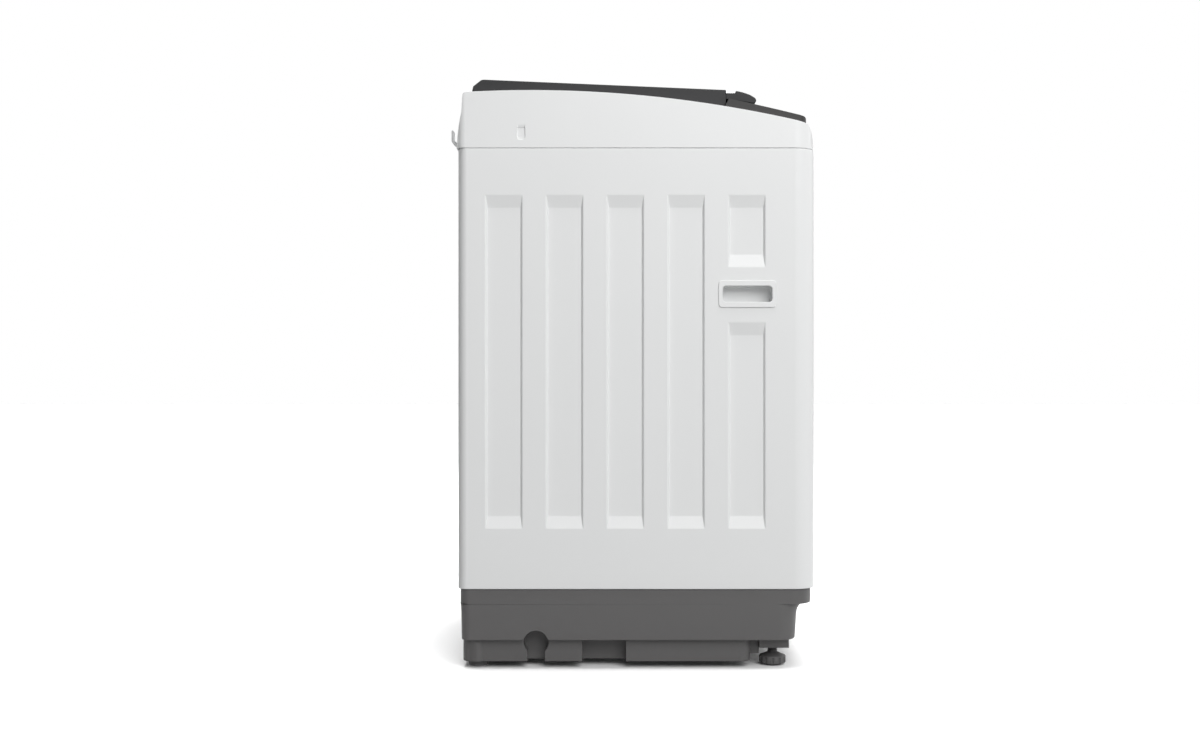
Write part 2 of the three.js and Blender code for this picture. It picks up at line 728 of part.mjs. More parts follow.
function lidSwitch() {
  const { x0, x1, front, rear, bottom, top } = SWITCH;
  return join(
    block(x0, x1, front, rear, bottom, top),
    block(x0 + 6, x1 - 6, front - 15, front + 1, bottom + 6, top - 6),
  );
}

// ----------------------------------------------------------------------- lid

function lidTop(y) {
  return LID_REAR_TOP - (235.4 - y) * LID_SLOPE;
}

function lidEdge(y) {
  return coverTop(y) - LID_DROP;
}

function lidFrame() {
  const outline = outlineShape([
    ...sampled(-146.4, 226, 12, lidEdge), [249, 916.5], [LID_REAR, 920.5], [252.9, 928.9],
    [241, 938.2], [238.5, 939.6], [LID_FRONT, lidTop(LID_FRONT)], [LID_FRONT, 910],
  ]);
  const outside = alongX(outline, -LID_HALF, LID_HALF);
  const hollow = outlineShape([
    [-143, 870], [250, 870], [250.5, 921], [248, 927], [242, 931.8],
    [236, lidTop(236) - LID_TOP_WALL], [-143, lidTop(-143) - LID_TOP_WALL],
  ]);
  const inside = alongX(hollow, -LID_HALF + LID_WALL, LID_HALF - LID_WALL);
  const seat = (half, front, rear, drop) => alongX(
    outlineShape([
      [front, lidTop(front) - drop], [rear, lidTop(rear) - drop], [rear, 960], [front, 960],
    ]), -half, half,
  );
  const { half, front, rear, thickness } = GLASS;
  const ring = 12;
  let frame = cut(
    outside, inside,
    seat(half + GAP, front - GAP, rear + GAP, thickness + GAP),
    seat(half - ring, front + ring, rear - ring, 40),
  );
  for (const side of [-1, 1]) {
    const x = side * HINGE.ear;
    const slot = block(x - 5, x + 5, HINGE.y - 7, 262, 912, HINGE.z + 7.5);
    frame = cut(frame, slot);
    frame = join(frame, cylinderX(
      HINGE.pin, Math.min(x - side * 6, side * (LID_HALF - 1)),
      Math.max(x - side * 6, side * (LID_HALF - 1)), HINGE.y, HINGE.z, 12,
    ));
  }
  return frame;
}

function lidGlass() {
  const { half, front, rear, thickness } = GLASS;
  return alongX(outlineShape([
    [front, lidTop(front) - thickness], [rear, lidTop(rear) - thickness],
    [rear, lidTop(rear)], [front, lidTop(front)],
  ]), -half, half);
}

function lidHandle() {
  return alongX(outlineShape([
    [LID_FRONT - GAP, 910], [-193.3, 901.8], [-197.3, 903.2], [-198.9, 906.5], [-197.8, 909.6],
    [-194.9, 911.8], [-188.5, 915.7], [-182.2, 917.9], [-172.6, 920.6], [-165.6, 921.8],
    [-165.6, 917.6], [LID_FRONT - GAP, 917.6],
  ]), -LID_HALF, LID_HALF);
}

function lidTrim() {
  return alongX(outlineShape([
    [LID_FRONT - GAP, 917.9], [-165.3, 917.9], [-165.3, 922.3], [-158, 923.2],
    [LID_FRONT - GAP, 923.2],
  ]), -LID_HALF - 0.5, LID_HALF + 0.5);
}

// ---------------------------------------------------- tub, basket and drive

function outerTub() {
  const { radius, bottom, top, wall } = TUB;
  let tub = asSolid(turned([
    [22, bottom], [radius - 12, bottom], [radius, bottom + 12], [radius, top],
    [radius - wall, top], [radius - wall, bottom + 13], [radius - 13, bottom + 4],
    [22, bottom + 4],
  ]));
  for (const sideX of [-1, 1]) {
    for (const sideY of [-1, 1]) {
      const away = Math.hypot(ROD.x, ROD.y);
      const turn = Math.atan2(sideY * ROD.y, sideX * ROD.x);
      const lug = block(
        radius - 2, away + 16, -LUG.width / 2, LUG.width / 2,
        LUG.bottom, LUG.bottom + LUG.thickness,
      );
      lug.rotateZ(turn).translate(0, AXIS_Y, 0);
      const x = sideX * ROD.x;
      const y = AXIS_Y + sideY * ROD.y;
      tub = cut(join(tub, lug), cylinder(ROD.radius + 3, 340, 380, x, y, 12));
    }
  }
  return tub;
}

function tubRing() {
  const z = TUB.top + GAP;
  const { inner, height } = SPLASH_RING;
  return turned([
    [TUB.radius, z], [TUB.radius, z + 12], [inner + 11, z + height], [inner, z + height],
    [inner, z + height - 10], [inner + 9, z + height - 10], [TUB.radius - 6, z + 6], [TUB.radius - 6, z],
  ]);
}

function suspensionRod(sideX, sideY) {
  const x = sideX * ROD.x;
  const y = AXIS_Y + sideY * ROD.y;
  return turned([
    [0, ROD.bottom], [SPRING.radius, ROD.bottom], [SPRING.radius, ROD.bottom + 7],
    [ROD.radius, ROD.bottom + 7], [ROD.radius, ROD.seat + GAP], [13, ROD.seat + GAP],
    [10, ROD.seat + 9], [0, ROD.seat + 9],
  ], 12, x, y);
}

function spring(sideX, sideY) {
  const x = sideX * ROD.x;
  const y = AXIS_Y + sideY * ROD.y;
  const low = ROD.bottom + 7 + GAP;
  const high = LUG.bottom - GAP;
  const inner = SPRING.radius - SPRING.wire;
  return turned([
    [inner, low], [SPRING.radius, low], [SPRING.radius, high], [inner, high],
  ], 12, x, y);
}

function washBasket() {
  const { radius, bottom, top, wall } = BASKET;
  return turned([
    [30, bottom], [radius - 14, bottom], [radius, bottom + 14], [radius, top],
    [radius - wall, top], [radius - wall, bottom + 15], [radius - 15, bottom + wall],
    [30, bottom + wall],
  ]);
}

function balanceRing() {
  const z = BASKET.top + GAP;
  const { inner, outer, height } = BALANCE;
  return turned([
    [inner + 4, z], [outer, z], [outer, z + height - 8], [outer - 8, z + height],
    [inner + 8, z + height], [inner, z + height - 8], [inner, z + 6],
  ]);
}

function basketHub() {
  return turned([
    [11.5, 303], [17, 303], [17, 326], [90, 338], [90, BASKET.bottom - GAP],
    [11.5, BASKET.bottom - GAP],
  ], 32);
}

function lintFilter() {
  return join(block(200, 211, -32, 32, 430, 610), block(210, 215, -28, 28, 440, 600));
}

function pulsator() {
  const { radius, base, blades } = PULSATOR;
  let disc = asSolid(turned([
    [0, 306], [9, 306], [9, base], [radius - 6, base], [radius, base + 5],
    [radius - 3, base + 8], [60, base + 11], [34, base + 18], [0, base + 18],
  ], 32));
  for (let i = 0; i < blades; i += 1) {
    const blade = alongX(
      outlineShape([[-9, base + 7], [9, base + 7], [3, base + 27], [-3, base + 27]]), 26, 172,
    );
    blade.rotateZ(i / blades * Math.PI * 2).translate(0, AXIS_Y, 0);
    disc = join(disc, blade);
  }
  return cut(disc, cylinder(25, base + 14, base + 40, 0, AXIS_Y, 24));
}

function pulsatorCap() {
  return turned([[0, 366.3], [24, 366.3], [24, 378], [18, 383], [0, 385]], 24);
}

function mountingPlate() {
  const plate = block(-80, 80, -110, 215, 305.3, TUB.bottom - GAP);
  return cut(plate, cylinder(24, 300, 315, 0, AXIS_Y, 24));
}

function clutchHousing() {
  const { bottom, top } = CLUTCH;
  return turned([
    [12, bottom], [58, bottom], [65, bottom + 10], [65, top - 15], [78, top - 9], [78, top],
    [24, top], [24, top - 5], [12, top - 5], [12, top - 11], [50, top - 15], [50, bottom + 12],
    [12, bottom + 7],
  ], 32);
}

function motor() {
  return turned([
    [9, 192], [50, 192], [62, 200], [62, 292], [50, 300], [50, 305], [0, 305], [0, 196], [9, 196],
  ], 20, 0, MOTOR_Y);
}

function pulley(radius, y, shaftTop) {
  const { shaft, bottom, top } = PULLEY;
  return turned([
    [0, shaft], [9, shaft], [9, bottom], [radius, bottom], [radius, top], [9, top],
    [8, shaftTop], [0, shaftTop],
  ], 20, 0, y);
}

function beltShape(grow) {
  const big = DRIVE_PULLEY + grow;
  const small = MOTOR_PULLEY + grow;
  const lean = Math.asin((big - small) / MOTOR_OFFSET);
  const shape = new THREE.Shape();
  shape.absarc(0, MOTOR_Y, small, lean, Math.PI - lean);
  shape.absarc(0, AXIS_Y, big, Math.PI - lean, Math.PI * 2 + lean);
  return shape;
}

function driveBelt() {
  return cut(
    alongZ(beltShape(0.5 + BELT.thickness), PULLEY.belt, PULLEY.belt + BELT.width, 8),
    alongZ(beltShape(0.5), PULLEY.belt - 1, PULLEY.belt + BELT.width + 1, 8),
  );
}

function drainValve() {
  const { x, y, bottom } = DRAIN;
  return join(
    cylinder(26, bottom, TUB.bottom - GAP, x, y, 20),
    cylinderX(14, x - 65, x + 20, y, bottom + 16, 16),
    block(x - 8, x + 8, y - 30, y + 2, bottom + 4, bottom + 20),
  );
}

function drainActuator() {
  const { x, y, bottom } = DRAIN;
  return join(
    block(x - 30, x + 25, y - 110, y - 40, bottom + 4, TUB.bottom - GAP),
    block(x - 4, x + 4, y - 41, y - 32, bottom + 8, bottom + 16),
  );
}

// ------------------------------------------------------------------ assembly

add('cabinet_shell', 'painted_steel', cabinetShell());
add('rear_panel', 'zinc_steel', rearPanel());
add('cord_gland', 'rubber', cordGland());
add('base_frame', 'base_plastic', baseFrame());
add('top_cover', 'white_plastic', topCover());
add('hose_hook', 'white_plastic', hoseHook());
add('dispenser_housing', 'tub_plastic', dispenserHousing());
add('detergent_drawer', 'white_plastic', detergentDrawer());
add('inlet_valve', 'tub_plastic', inletValve());
add('control_panel', 'panel_plastic', controlPanel());
add('display_window', 'smoked_glass', block(
  -DISPLAY.half, DISPLAY.half, DISPLAY.front, DISPLAY.rear, -DISPLAY.thickness + GAP, 0.2,
), fascia);
add('control_board', 'circuit_board', controlBoard(), fascia);
for (const [name, x, radius] of BUTTONS) {
  add(name, 'button_plastic', button(x, radius), fascia);
}
add('water_level_sensor', 'dark_plastic', waterLevelSensor());
add('lid_switch', 'dark_plastic', lidSwitch());
add('lid_frame', 'dark_plastic', lidFrame());
add('lid_glass', 'smoked_glass', lidGlass());
add('lid_handle', 'dark_plastic', lidHandle());
add('lid_trim', 'chrome', lidTrim());
add('outer_tub', 'tub_plastic', outerTub());
add('tub_ring', 'tub_plastic', tubRing());
add('wash_basket', 'stainless', washBasket());
add('balance_ring', 'white_plastic', balanceRing());
add('basket_hub', 'cast_aluminium', basketHub());
add('lint_filter', 'white_plastic', lintFilter());
add('pulsator', 'pulsator_plastic', pulsator());
add('pulsator_cap', 'chrome', pulsatorCap());
add('mounting_plate', 'zinc_steel', mountingPlate());
add('clutch_housing', 'cast_aluminium', clutchHousing());
add('motor', 'cast_aluminium', motor());
add('drive_pulley', 'cast_aluminium', pulley(DRIVE_PULLEY, AXIS_Y, 240));
add('motor_pulley', 'cast_aluminium', pulley(MOTOR_PULLEY, MOTOR_Y, 191));
add('drive_belt', 'rubber', driveBelt());
add('drain_valve', 'tub_plastic', drainValve());
add('drain_actuator', 'dark_plastic', drainActuator());
for (const [side, sign] of [['left', -1], ['right', 1]]) {
  add(`grip_${side}`, 'white_plastic', sign > 0 ? grip() : mirrored(grip()));
  add(`rear_foot_${side}`, 'rubber', rearFoot(sign));
  add(`front_foot_${side}`, 'base_plastic', frontFoot(sign));
  for (const [end, place] of [['front', -1], ['rear', 1]]) {
    add(`suspension_rod_${end}_${side}`, 'zinc_steel', suspensionRod(sign, place));
    add(`spring_${end}_${side}`, 'zinc_steel', spring(sign, place));
  }
}

export default machine;
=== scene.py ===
"""A top load washing machine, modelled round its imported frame."""

from math import asin, atan, atan2, cos, degrees, hypot, pi, radians, sin

import bmesh
import bpy
from mathutils import Matrix, Vector


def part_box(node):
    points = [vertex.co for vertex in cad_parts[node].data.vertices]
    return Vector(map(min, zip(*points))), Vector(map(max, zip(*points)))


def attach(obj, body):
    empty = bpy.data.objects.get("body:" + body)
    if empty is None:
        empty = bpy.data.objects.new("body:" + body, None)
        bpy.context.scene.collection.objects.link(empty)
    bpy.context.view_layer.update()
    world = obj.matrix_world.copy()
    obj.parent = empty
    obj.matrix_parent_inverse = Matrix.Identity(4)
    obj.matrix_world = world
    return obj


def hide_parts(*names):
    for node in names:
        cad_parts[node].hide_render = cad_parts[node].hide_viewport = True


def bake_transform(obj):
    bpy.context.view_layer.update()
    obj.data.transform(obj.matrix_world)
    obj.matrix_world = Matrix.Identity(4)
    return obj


bl_info = {
    "name": "Top Load Washing Machine",
    "version": (1, 0, 0),
    "blender": (4, 5, 0),
    "location": "View3D > Sidebar > Washer",
    "description": "Builds a top load washing machine, piece by piece",
    "category": "Add Mesh",
}

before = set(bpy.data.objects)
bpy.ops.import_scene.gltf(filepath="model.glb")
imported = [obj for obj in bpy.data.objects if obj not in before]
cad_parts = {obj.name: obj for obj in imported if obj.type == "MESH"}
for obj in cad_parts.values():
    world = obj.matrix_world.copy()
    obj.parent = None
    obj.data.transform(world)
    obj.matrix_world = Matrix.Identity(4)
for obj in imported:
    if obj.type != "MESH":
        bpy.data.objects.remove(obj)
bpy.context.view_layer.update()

MM = 0.001
SIDES = (-1, 1)
# Points this close to a face or a line, in metres, count as on it.
NEAR = 0.0001
# The levelling feet's threads, the fixed feet's studs, and the rods out from the tub's axis.
FOOT_X, FOOT_Y = 225, -229
STUD_X, STUD_Y = 230, 247.5
ROD_X, ROD_Y = 222, 232
CABINET_LOW, CABINET_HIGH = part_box("cabinet_shell")
BASE_LOW, BASE_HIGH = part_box("base_frame")
LID_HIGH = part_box("lid_frame")[1]
PANEL_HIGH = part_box("control_panel")[1]
AXIS_Y = sum(corner[1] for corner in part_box("outer_tub")) / 2
REAR_FACE = CABINET_HIGH[1]
WIDTH_HALF = CABINET_HIGH[0]
# The same places in millimetres.
AXIS_MM, REAR_MM, HALF_MM = (size / MM for size in (AXIS_Y, REAR_FACE, WIDTH_HALF))


# Settings


def linear(code):
    """An sRGB hex colour as linear numbers."""
    channels = [int(code[i : i + 2], 16) / 255 for i in (1, 3, 5)]
    return tuple(c / 12.92 if c <= 0.04045 else ((c + 0.055) / 1.055) ** 2.4 for c in channels)


def length(name, text, size):
    """A length property whose default is in millimetres."""
    return bpy.props.FloatProperty(name=name, description=text, default=size * MM, min=0, unit="LENGTH")


def colour(name, text, code):
    """A colour property whose default is an sRGB hex value."""
    return bpy.props.FloatVectorProperty(
        name=name, description=text, default=linear(code), subtype="COLOR", min=0, max=1
    )


class CabinetSizes(bpy.types.PropertyGroup):
    front_radius: length("Front corners", "Radius of the front corners", 36)
    rear_radius: length("Rear corners", "Radius of the rear corners", 15)
    sheet: length("Sheet", "Thickness of the steel sheet", 1.2)
    hem: length("Hem", "Width of the flange along the top and bottom", 14)
    groove_width: length("Groove width", "Width of a pressed groove", 58.5)
    groove_depth: length("Groove depth", "Depth of a pressed groove", 4)
    groove_pitch: length("Groove pitch", "Distance from groove to groove", 96.4)
    groove_ramp: length("Groove ramp", "Length of the slope at a groove's ends", 20)
    groove_side: length("Groove side", "Width of the slope along a groove", 2.75)
    fold: length("Fold radius", "Radius of the pressed edges", 1.1)


class TopSizes(bpy.types.PropertyGroup):
    wall: length("Wall", "Wall of the top cover", 3)
    crown_radius: length("Crown radius", "Radius of the cover's upper edge", 1880)
    ledge_drop: length("Ledge", "Depth of the ledge under the lid", 6)
    lid_gap: length("Lid gap", "Space between the lid's edge and the ledge", 2)
    glass: length("Glass", "Thickness of the lid's glass", 4)
    panel_wall: length("Panel wall", "Wall of the control panel", 3)


class BaseSizes(bpy.types.PropertyGroup):
    wall: length("Wall", "Wall of the base", 3.5)
    toe_depth: length("Toe depth", "How far the toe recess steps back", 22.5)
    foot_pad: length("Foot pad", "Radius of a levelling foot's pad", 21.5)
    stem: length("Foot stem", "Radius of a levelling foot's thread", 8)
    notch: length("Hose notch", "Radius of the drain hose notch", 20)


class Colours(bpy.types.PropertyGroup):
    enamel: colour("Enamel", "Painted steel cabinet", "#E4E5E5")
    white: colour("White plastic", "Top cover, grips and hook", "#E6E7E7")
    dark: colour("Dark plastic", "Lid frame and handle", "#303031")
    panel: colour("Panel plastic", "Control panel", "#3D3C3C")
    base: colour("Base plastic", "Base and feet", "#525151")
    button: colour("Buttons", "Silver painted buttons", "#B9BBBD")


def cabinet_sizes():
    return bpy.context.scene.washer_cabinet


def top_sizes():
    return bpy.context.scene.washer_top


def base_sizes():
    return bpy.context.scene.washer_base


def colours():
    return bpy.context.scene.washer_colours


# Modelling tools


def activate(piece):
    bpy.ops.object.select_all(action="DESELECT")
    piece.select_set(True)
    bpy.context.view_layer.objects.active = piece


def editing(piece, kind="FACE"):
    """Opens a piece for editing with nothing selected."""
    activate(piece)
    bpy.ops.object.mode_set(mode="EDIT")
    bpy.ops.mesh.select_mode(type=kind)
    bpy.ops.mesh.select_all(action="DESELECT")


def finish_editing():
    bpy.ops.object.mode_set(mode="OBJECT")


def pick(kind, parts, test):
    """Selects only the parts of the open piece that pass the test."""
    bpy.ops.mesh.select_mode(type=kind)
    bpy.ops.mesh.select_all(action="DESELECT")
    mesh = bmesh.from_edit_mesh(bpy.context.edit_object.data)
    mesh.normal_update()
    for part in getattr(mesh, parts):
        if test(part):
            part.select_set(True)
    mesh.select_flush_mode()
    bmesh.update_edit_mesh(bpy.context.edit_object.data)


def pick_faces(test):
    """Selects the faces whose middle and normal pass the test."""
    pick("FACE", "faces", lambda face: test(face.calc_center_median(), face.normal))


def pick_edges(test):
    """Selects the edges whose two ends pass the test."""
    pick("EDGE", "edges", lambda edge: test(edge.verts[0].co, edge.verts[1].co))


def pick_points(test):
    pick("VERT", "verts", lambda point: test(point.co))


def slice_at(level, axis):
    """Cuts the open piece's faces along a level of the axis X, Y or Z, in metres."""
    normal = [float(letter == axis) for letter in "XYZ"]
    bpy.ops.mesh.select_all(action="SELECT")
    bpy.ops.mesh.bisect(plane_co=[level * part for part in normal], plane_no=normal)
    bpy.ops.mesh.select_all(action="DESELECT")


def close_outward(piece, weld=False):
    """Turns every face outward, merging points that share a place, and ends the editing."""
    bpy.ops.mesh.select_all(action="SELECT")
    if weld:
        bpy.ops.mesh.remove_doubles(threshold=0.01 * MM)
    bpy.ops.mesh.normals_make_consistent(inside=False)
    finish_editing()
    return piece


def drawn(name, points, edges=(), faces=()):
    """A new piece from points in millimetres, opened for editing and all selected."""
    mesh = bpy.data.meshes.new(name)
    mesh.from_pydata([[c * MM for c in point] for point in points], edges, faces)
    piece = bpy.data.objects.new(name, mesh)
    bpy.context.scene.collection.objects.link(piece)
    editing(piece, "FACE" if faces else "VERT")
    bpy.ops.mesh.select_all(action="SELECT")
    return piece


def apply_modifier(piece, kind, **settings):
    activate(piece)
    modifier = piece.modifiers.new(kind.title(), kind)
    for key, value in settings.items():
        setattr(modifier, key, value)
    bpy.ops.object.modifier_apply(modifier=modifier.name)
    return piece


def block(name, low, high):
    """A box between two corners, in metres."""
    bpy.ops.object.select_all(action="DESELECT")
    middle = [(a + b) / 2 for a, b in zip(low, high)]
    bpy.ops.mesh.primitive_cube_add(size=1, location=middle)
    piece = bpy.context.active_object
    piece.name = name
    piece.scale = [b - a for a, b in zip(low, high)]
    bpy.ops.object.transform_apply(location=True, rotation=True, scale=True)
    return piece


def block_mm(name, x0, x1, y0, y1, z0, z1):
    x0, x1 = sorted((x0, x1))
    return block(name, (x0 * MM, y0 * MM, z0 * MM), (x1 * MM, y1 * MM, z1 * MM))


PLACES = {
    "X": lambda u, v, w: (w, u, v),
    "Y": lambda u, v, w: (u, w, v),
    "Z": lambda u, v, w: (u, v, w),
}


def plate(name, outline, axis, start, end):
    """An outline in millimetres, drawn out along an axis from start to end."""
    along = PLACES[axis]
    piece = drawn(name, [along(u, v, start) for u, v in outline], faces=[range(len(outline))])
    offset = [c * MM for c in along(0, 0, end - start)]
    bpy.ops.mesh.extrude_region_move(TRANSFORM_OT_translate={"value": offset})
    return close_outward(piece)


def turned(name, outline, x=0, y=AXIS_MM, steps=64, closed=True):
    """A ring or disc spun about an upright axis from [radius, height] points in millimetres."""
    edges = [(i, i + 1) for i in range(len(outline) - 1)]
    if closed and max(outline[0][0], outline[-1][0]) > 0:
        edges.append((len(outline) - 1, 0))
    piece = drawn(name, [(x + r, y, z) for r, z in outline], edges)
    bpy.ops.mesh.spin(steps=steps, angle=2 * pi, center=(x * MM, y * MM, 0), axis=(0, 0, 1))
    return close_outward(piece, weld=True)


def drill(x, y, radius, low, high, steps):
    """An upright round tool."""
    return turned("drill", [(0, low), (radius, low), (radius, high), (0, high)], x, y, steps)


def turn_over(piece, axis, angle):
    """Turns a finished piece about an axis through the origin, in its mesh."""
    piece.data.transform(Matrix.Rotation(angle, 4, axis))
    return piece


def shift(piece, x, y, z):
    """Moves a finished piece, in its mesh, by millimetres."""
    piece.data.transform(Matrix.Translation((x * MM, y * MM, z * MM)))
    return piece


def round_axis(piece, angle):
    """Moves a piece made about the upright line x = y = 0 to the tub's axis, turned."""
    piece.data.transform(Matrix.Translation((0, AXIS_Y, 0)) @ Matrix.Rotation(angle, 4, "Z"))
    return piece


def arc(cu, cv, radius, start, end, steps=8):
    """Points in millimetres along an arc, angles in degrees."""
    turn = [radians(start + (end - start) * i / steps) for i in range(steps + 1)]
    return [(cu + radius * cos(t), cv + radius * sin(t)) for t in turn]


def rounded(u0, u1, v0, v1, low_radius, high_radius=None, steps=8):
    """A rectangle with round corners; the low radius is at the v0 side."""
    low, high = low_radius, low_radius if high_radius is None else high_radius
    return [
        *arc(u0 + low, v0 + low, low, 180, 270, steps),
        *arc(u1 - low, v0 + low, low, 270, 360, steps),
        *arc(u1 - high, v1 - high, high, 0, 90, steps),
        *arc(u0 + high, v1 - high, high, 90, 180, steps),
    ]


def sampled(start, end, steps, height):
    run = [start + (end - start) * i / steps for i in range(steps + 1)]
    return [(y, height(y)) for y in run]


def loft(name, rings):
    """A closed solid through rings of points that all have the same count."""
    count = len(rings[0])
    points = [point for ring in rings for point in ring]
    faces = [tuple(reversed(range(count)))]
    for row in range(len(rings) - 1):
        for i in range(count):
            a, b = row * count + i, row * count + (i + 1) % count
            faces.append((a, b, b + count, a + count))
    faces.append(tuple(range((len(rings) - 1) * count, len(rings) * count)))
    return close_outward(drawn(name, points, faces=faces))


def combine(piece, tools, operation):
    for tool in tools:
        apply_modifier(piece, "BOOLEAN", operation=operation, solver="EXACT", object=tool)
        bpy.data.objects.remove(tool)
    return piece


def carve(piece, *tools):
    return combine(piece, tools, "DIFFERENCE")


def fuse(piece, *tools):
    return combine(piece, tools, "UNION")


def keep_common(piece, tool):
    return combine(piece, [tool], "INTERSECT")


def soften(piece, radius, segments=3, angle=30, clamp=False):
    """Rounds the sharp edges and shades the piece smoothly."""
    apply_modifier(
        piece, "BEVEL", width=radius * MM, segments=segments, limit_method="ANGLE",
        angle_limit=radians(angle), use_clamp_overlap=clamp, harden_normals=False,
    )
    return shade(piece)


def round_edges(piece, radius, test, angle=40, segments=4, clamp=True):
    """Bevels the edges sharper than the angle whose middle passes the test."""

    def picked(edge):
        middle = (edge.verts[0].co + edge.verts[1].co) / 2
        return edge.calc_face_angle(0) > radians(angle) and test(middle / MM)

    editing(piece, "EDGE")
    pick("EDGE", "edges", picked)
    bpy.ops.mesh.bevel(offset=radius * MM, segments=segments, affect="EDGES", clamp_overlap=clamp)
    finish_editing()


def shade(piece, angle=40):
    activate(piece)
    bpy.ops.object.shade_smooth_by_angle(angle=radians(angle))
    return apply_modifier(piece, "WEIGHTED_NORMAL", keep_sharp=True, weight=60)


def joined(name, pieces):
    activate(pieces[0])
    for piece in pieces[1:]:
        piece.select_set(True)
    if len(pieces) > 1:
        bpy.ops.object.join()
    whole = bpy.context.view_layer.objects.active
    whole.name = name
    return whole


def copy_of(piece, name):
    other = piece.copy()
    other.data = piece.data.copy()
    other.name = name
    bpy.context.scene.collection.objects.link(other)
    return other


def mirrored(piece, name):
    other = copy_of(piece, name)
    other.data.transform(Matrix.Scale(-1, 4, (1, 0, 0)))
    other.data.flip_normals()
    return other


def place(piece, body, finish, *nodes):
    """Gives a finished piece its finish and its body, and hides the CAD nodes it stands for."""
    piece.data.materials.clear()
    piece.data.materials.append(material(finish))
    if body:
        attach(piece, body)
    if nodes:
        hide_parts(*nodes)


def tube(name, points, radius, sides=4):
    """A round wire along a list of points in metres."""
    curve = bpy.data.curves.new(name, "CURVE")
    curve.dimensions = "3D"
    curve.bevel_depth = radius
    curve.bevel_resolution = sides
    curve.use_fill_caps = True
    line = curve.splines.new("POLY")
    line.points.add(len(points) - 1)
    for point, co in zip(line.points, points):
        point.co = (*co, 1)
    wire = bpy.data.objects.new(name, curve)
    bpy.context.scene.collection.objects.link(wire)
    activate(wire)
    bpy.ops.object.convert(target="MESH")
    piece = bpy.context.active_object
    editing(piece)
    close_outward(piece, weld=True)
    bpy.ops.object.shade_smooth()
    return piece


# Materials


def node(tree, kind, settings=None, links=None):
    """Adds a node, sets its sockets or fields, and links its inputs."""
    new = tree.nodes.new(kind)
    for key, value in (settings or {}).items():
        if key in new.inputs:
            new.inputs[key].default_value = value
        else:
            setattr(new, key, value)
    for key, source in (links or {}).items():
        tree.links.new(source, new.inputs[key])
    return new


def surface(name, **sockets):
    """A material with one Principled shader whose constant sockets are set."""
    made = bpy.data.materials.new(name)
    made.use_nodes = True
    tree = made.node_tree
    shader = tree.nodes["Principled BSDF"]
    for key, value in sockets.items():
        shader.inputs[key.replace("_", " ")].default_value = value
    where = node(tree, "ShaderNodeTexCoord").outputs["Object"]
    return made, tree, shader, where


def varied(tree, shader, where, shade_value, amount, scale):
    """Lets the colour drift a little over the surface."""
    noise = node(tree, "ShaderNodeTexNoise", {"Scale": scale, "Detail": 2}, {"Vector": where})
    mix = node(tree, "ShaderNodeMix", {"data_type": "RGBA"}, {0: noise.outputs["Fac"]})
    # The sockets 6 and 7 of a colour mix are its two colours, and 2 is its result.
    mix.inputs[6].default_value = (*[c * (1 - amount) for c in shade_value], 1)
    mix.inputs[7].default_value = (*[min(1, c * (1 + amount)) for c in shade_value], 1)
    tree.links.new(mix.outputs[2], shader.inputs["Base Color"])


def grained(tree, shader, where, size, depth, rough, spread, stretch=(1, 1, 1)):
    """A fine grain of a given size in metres, in the bump and in the roughness."""
    drawn_out = node(tree, "ShaderNodeMapping", {"Scale": stretch}, {"Vector": where})
    look = {"Scale": 1 / size, "Detail": 3, "Roughness": 0.6}
    noise = node(tree, "ShaderNodeTexNoise", look, {"Vector": drawn_out.outputs["Vector"]})
    height = noise.outputs["Fac"]
    bump = node(tree, "ShaderNodeBump", {"Strength": 1, "Distance": depth}, {"Height": height})
    tree.links.new(bump.outputs["Normal"], shader.inputs["Normal"])
    ends = {"To Min": rough - spread, "To Max": rough + spread}
    ranged = node(tree, "ShaderNodeMapRange", ends, {"Value": height})
    tree.links.new(ranged.outputs["Result"], shader.inputs["Roughness"])


def tint(value):
    """A colour from the panel by its name, or from an sRGB hex value."""
    return linear(value) if value.startswith("#") else getattr(colours(), value)


def enamel():
    # Baked enamel on sheet steel: an even, satin gloss with a faint orange peel.
    made, tree, shader, where = surface("baked_enamel", IOR=1.52, Coat_Weight=0.06, Coat_Roughness=0.2)
    varied(tree, shader, where, tint("enamel"), 0.008, 6)
    grained(tree, shader, where, 2.2 * MM, 0.012 * MM, 0.5, 0.03)
    return made


def moulded(name, value, grain, depth, rough, spread=0.05, drift=0.012, gloss=0.5):
    # Injection moulded plastic: a spark-eroded grain breaks up the highlights.
    made, tree, shader, where = surface(name, IOR=1.54, Specular_IOR_Level=gloss)
    varied(tree, shader, where, tint(value), drift, 9)
    grained(tree, shader, where, grain * MM, depth * MM, rough, spread)
    return made


def metal(name, value, rough, spread, grain, depth, stretch=(1, 1, 1), drift=0.04):
    # Bare metal: what is reflected carries the colour, and tool marks stretch it.
    made, tree, shader, where = surface(name, Metallic=1.0)
    varied(tree, shader, where, tint(value), drift, 14)
    grained(tree, shader, where, grain * MM, depth * MM, rough, spread, stretch)
    return made


def smoked_glass():
    # Tempered soda-lime glass with a smoke tint: clear reflections, dim view through.
    made, tree, shader, where = surface(
        "smoked_tempered_glass", IOR=1.52, Transmission_Weight=0.72, Coat_Weight=0.2
    )
    varied(tree, shader, where, tint("#4A4D50"), 0.01, 5)
    grained(tree, shader, where, 60 * MM, 0.01 * MM, 0.03, 0.01)
    return made


def black_glass():
    # The display's window: black printed acrylic under a polished face.
    made, tree, shader, where = surface("printed_acrylic", IOR=1.49)
    varied(tree, shader, where, tint("#121315"), 0.05, 30)
    grained(tree, shader, where, 30 * MM, 0.004 * MM, 0.06, 0.02)
    return made


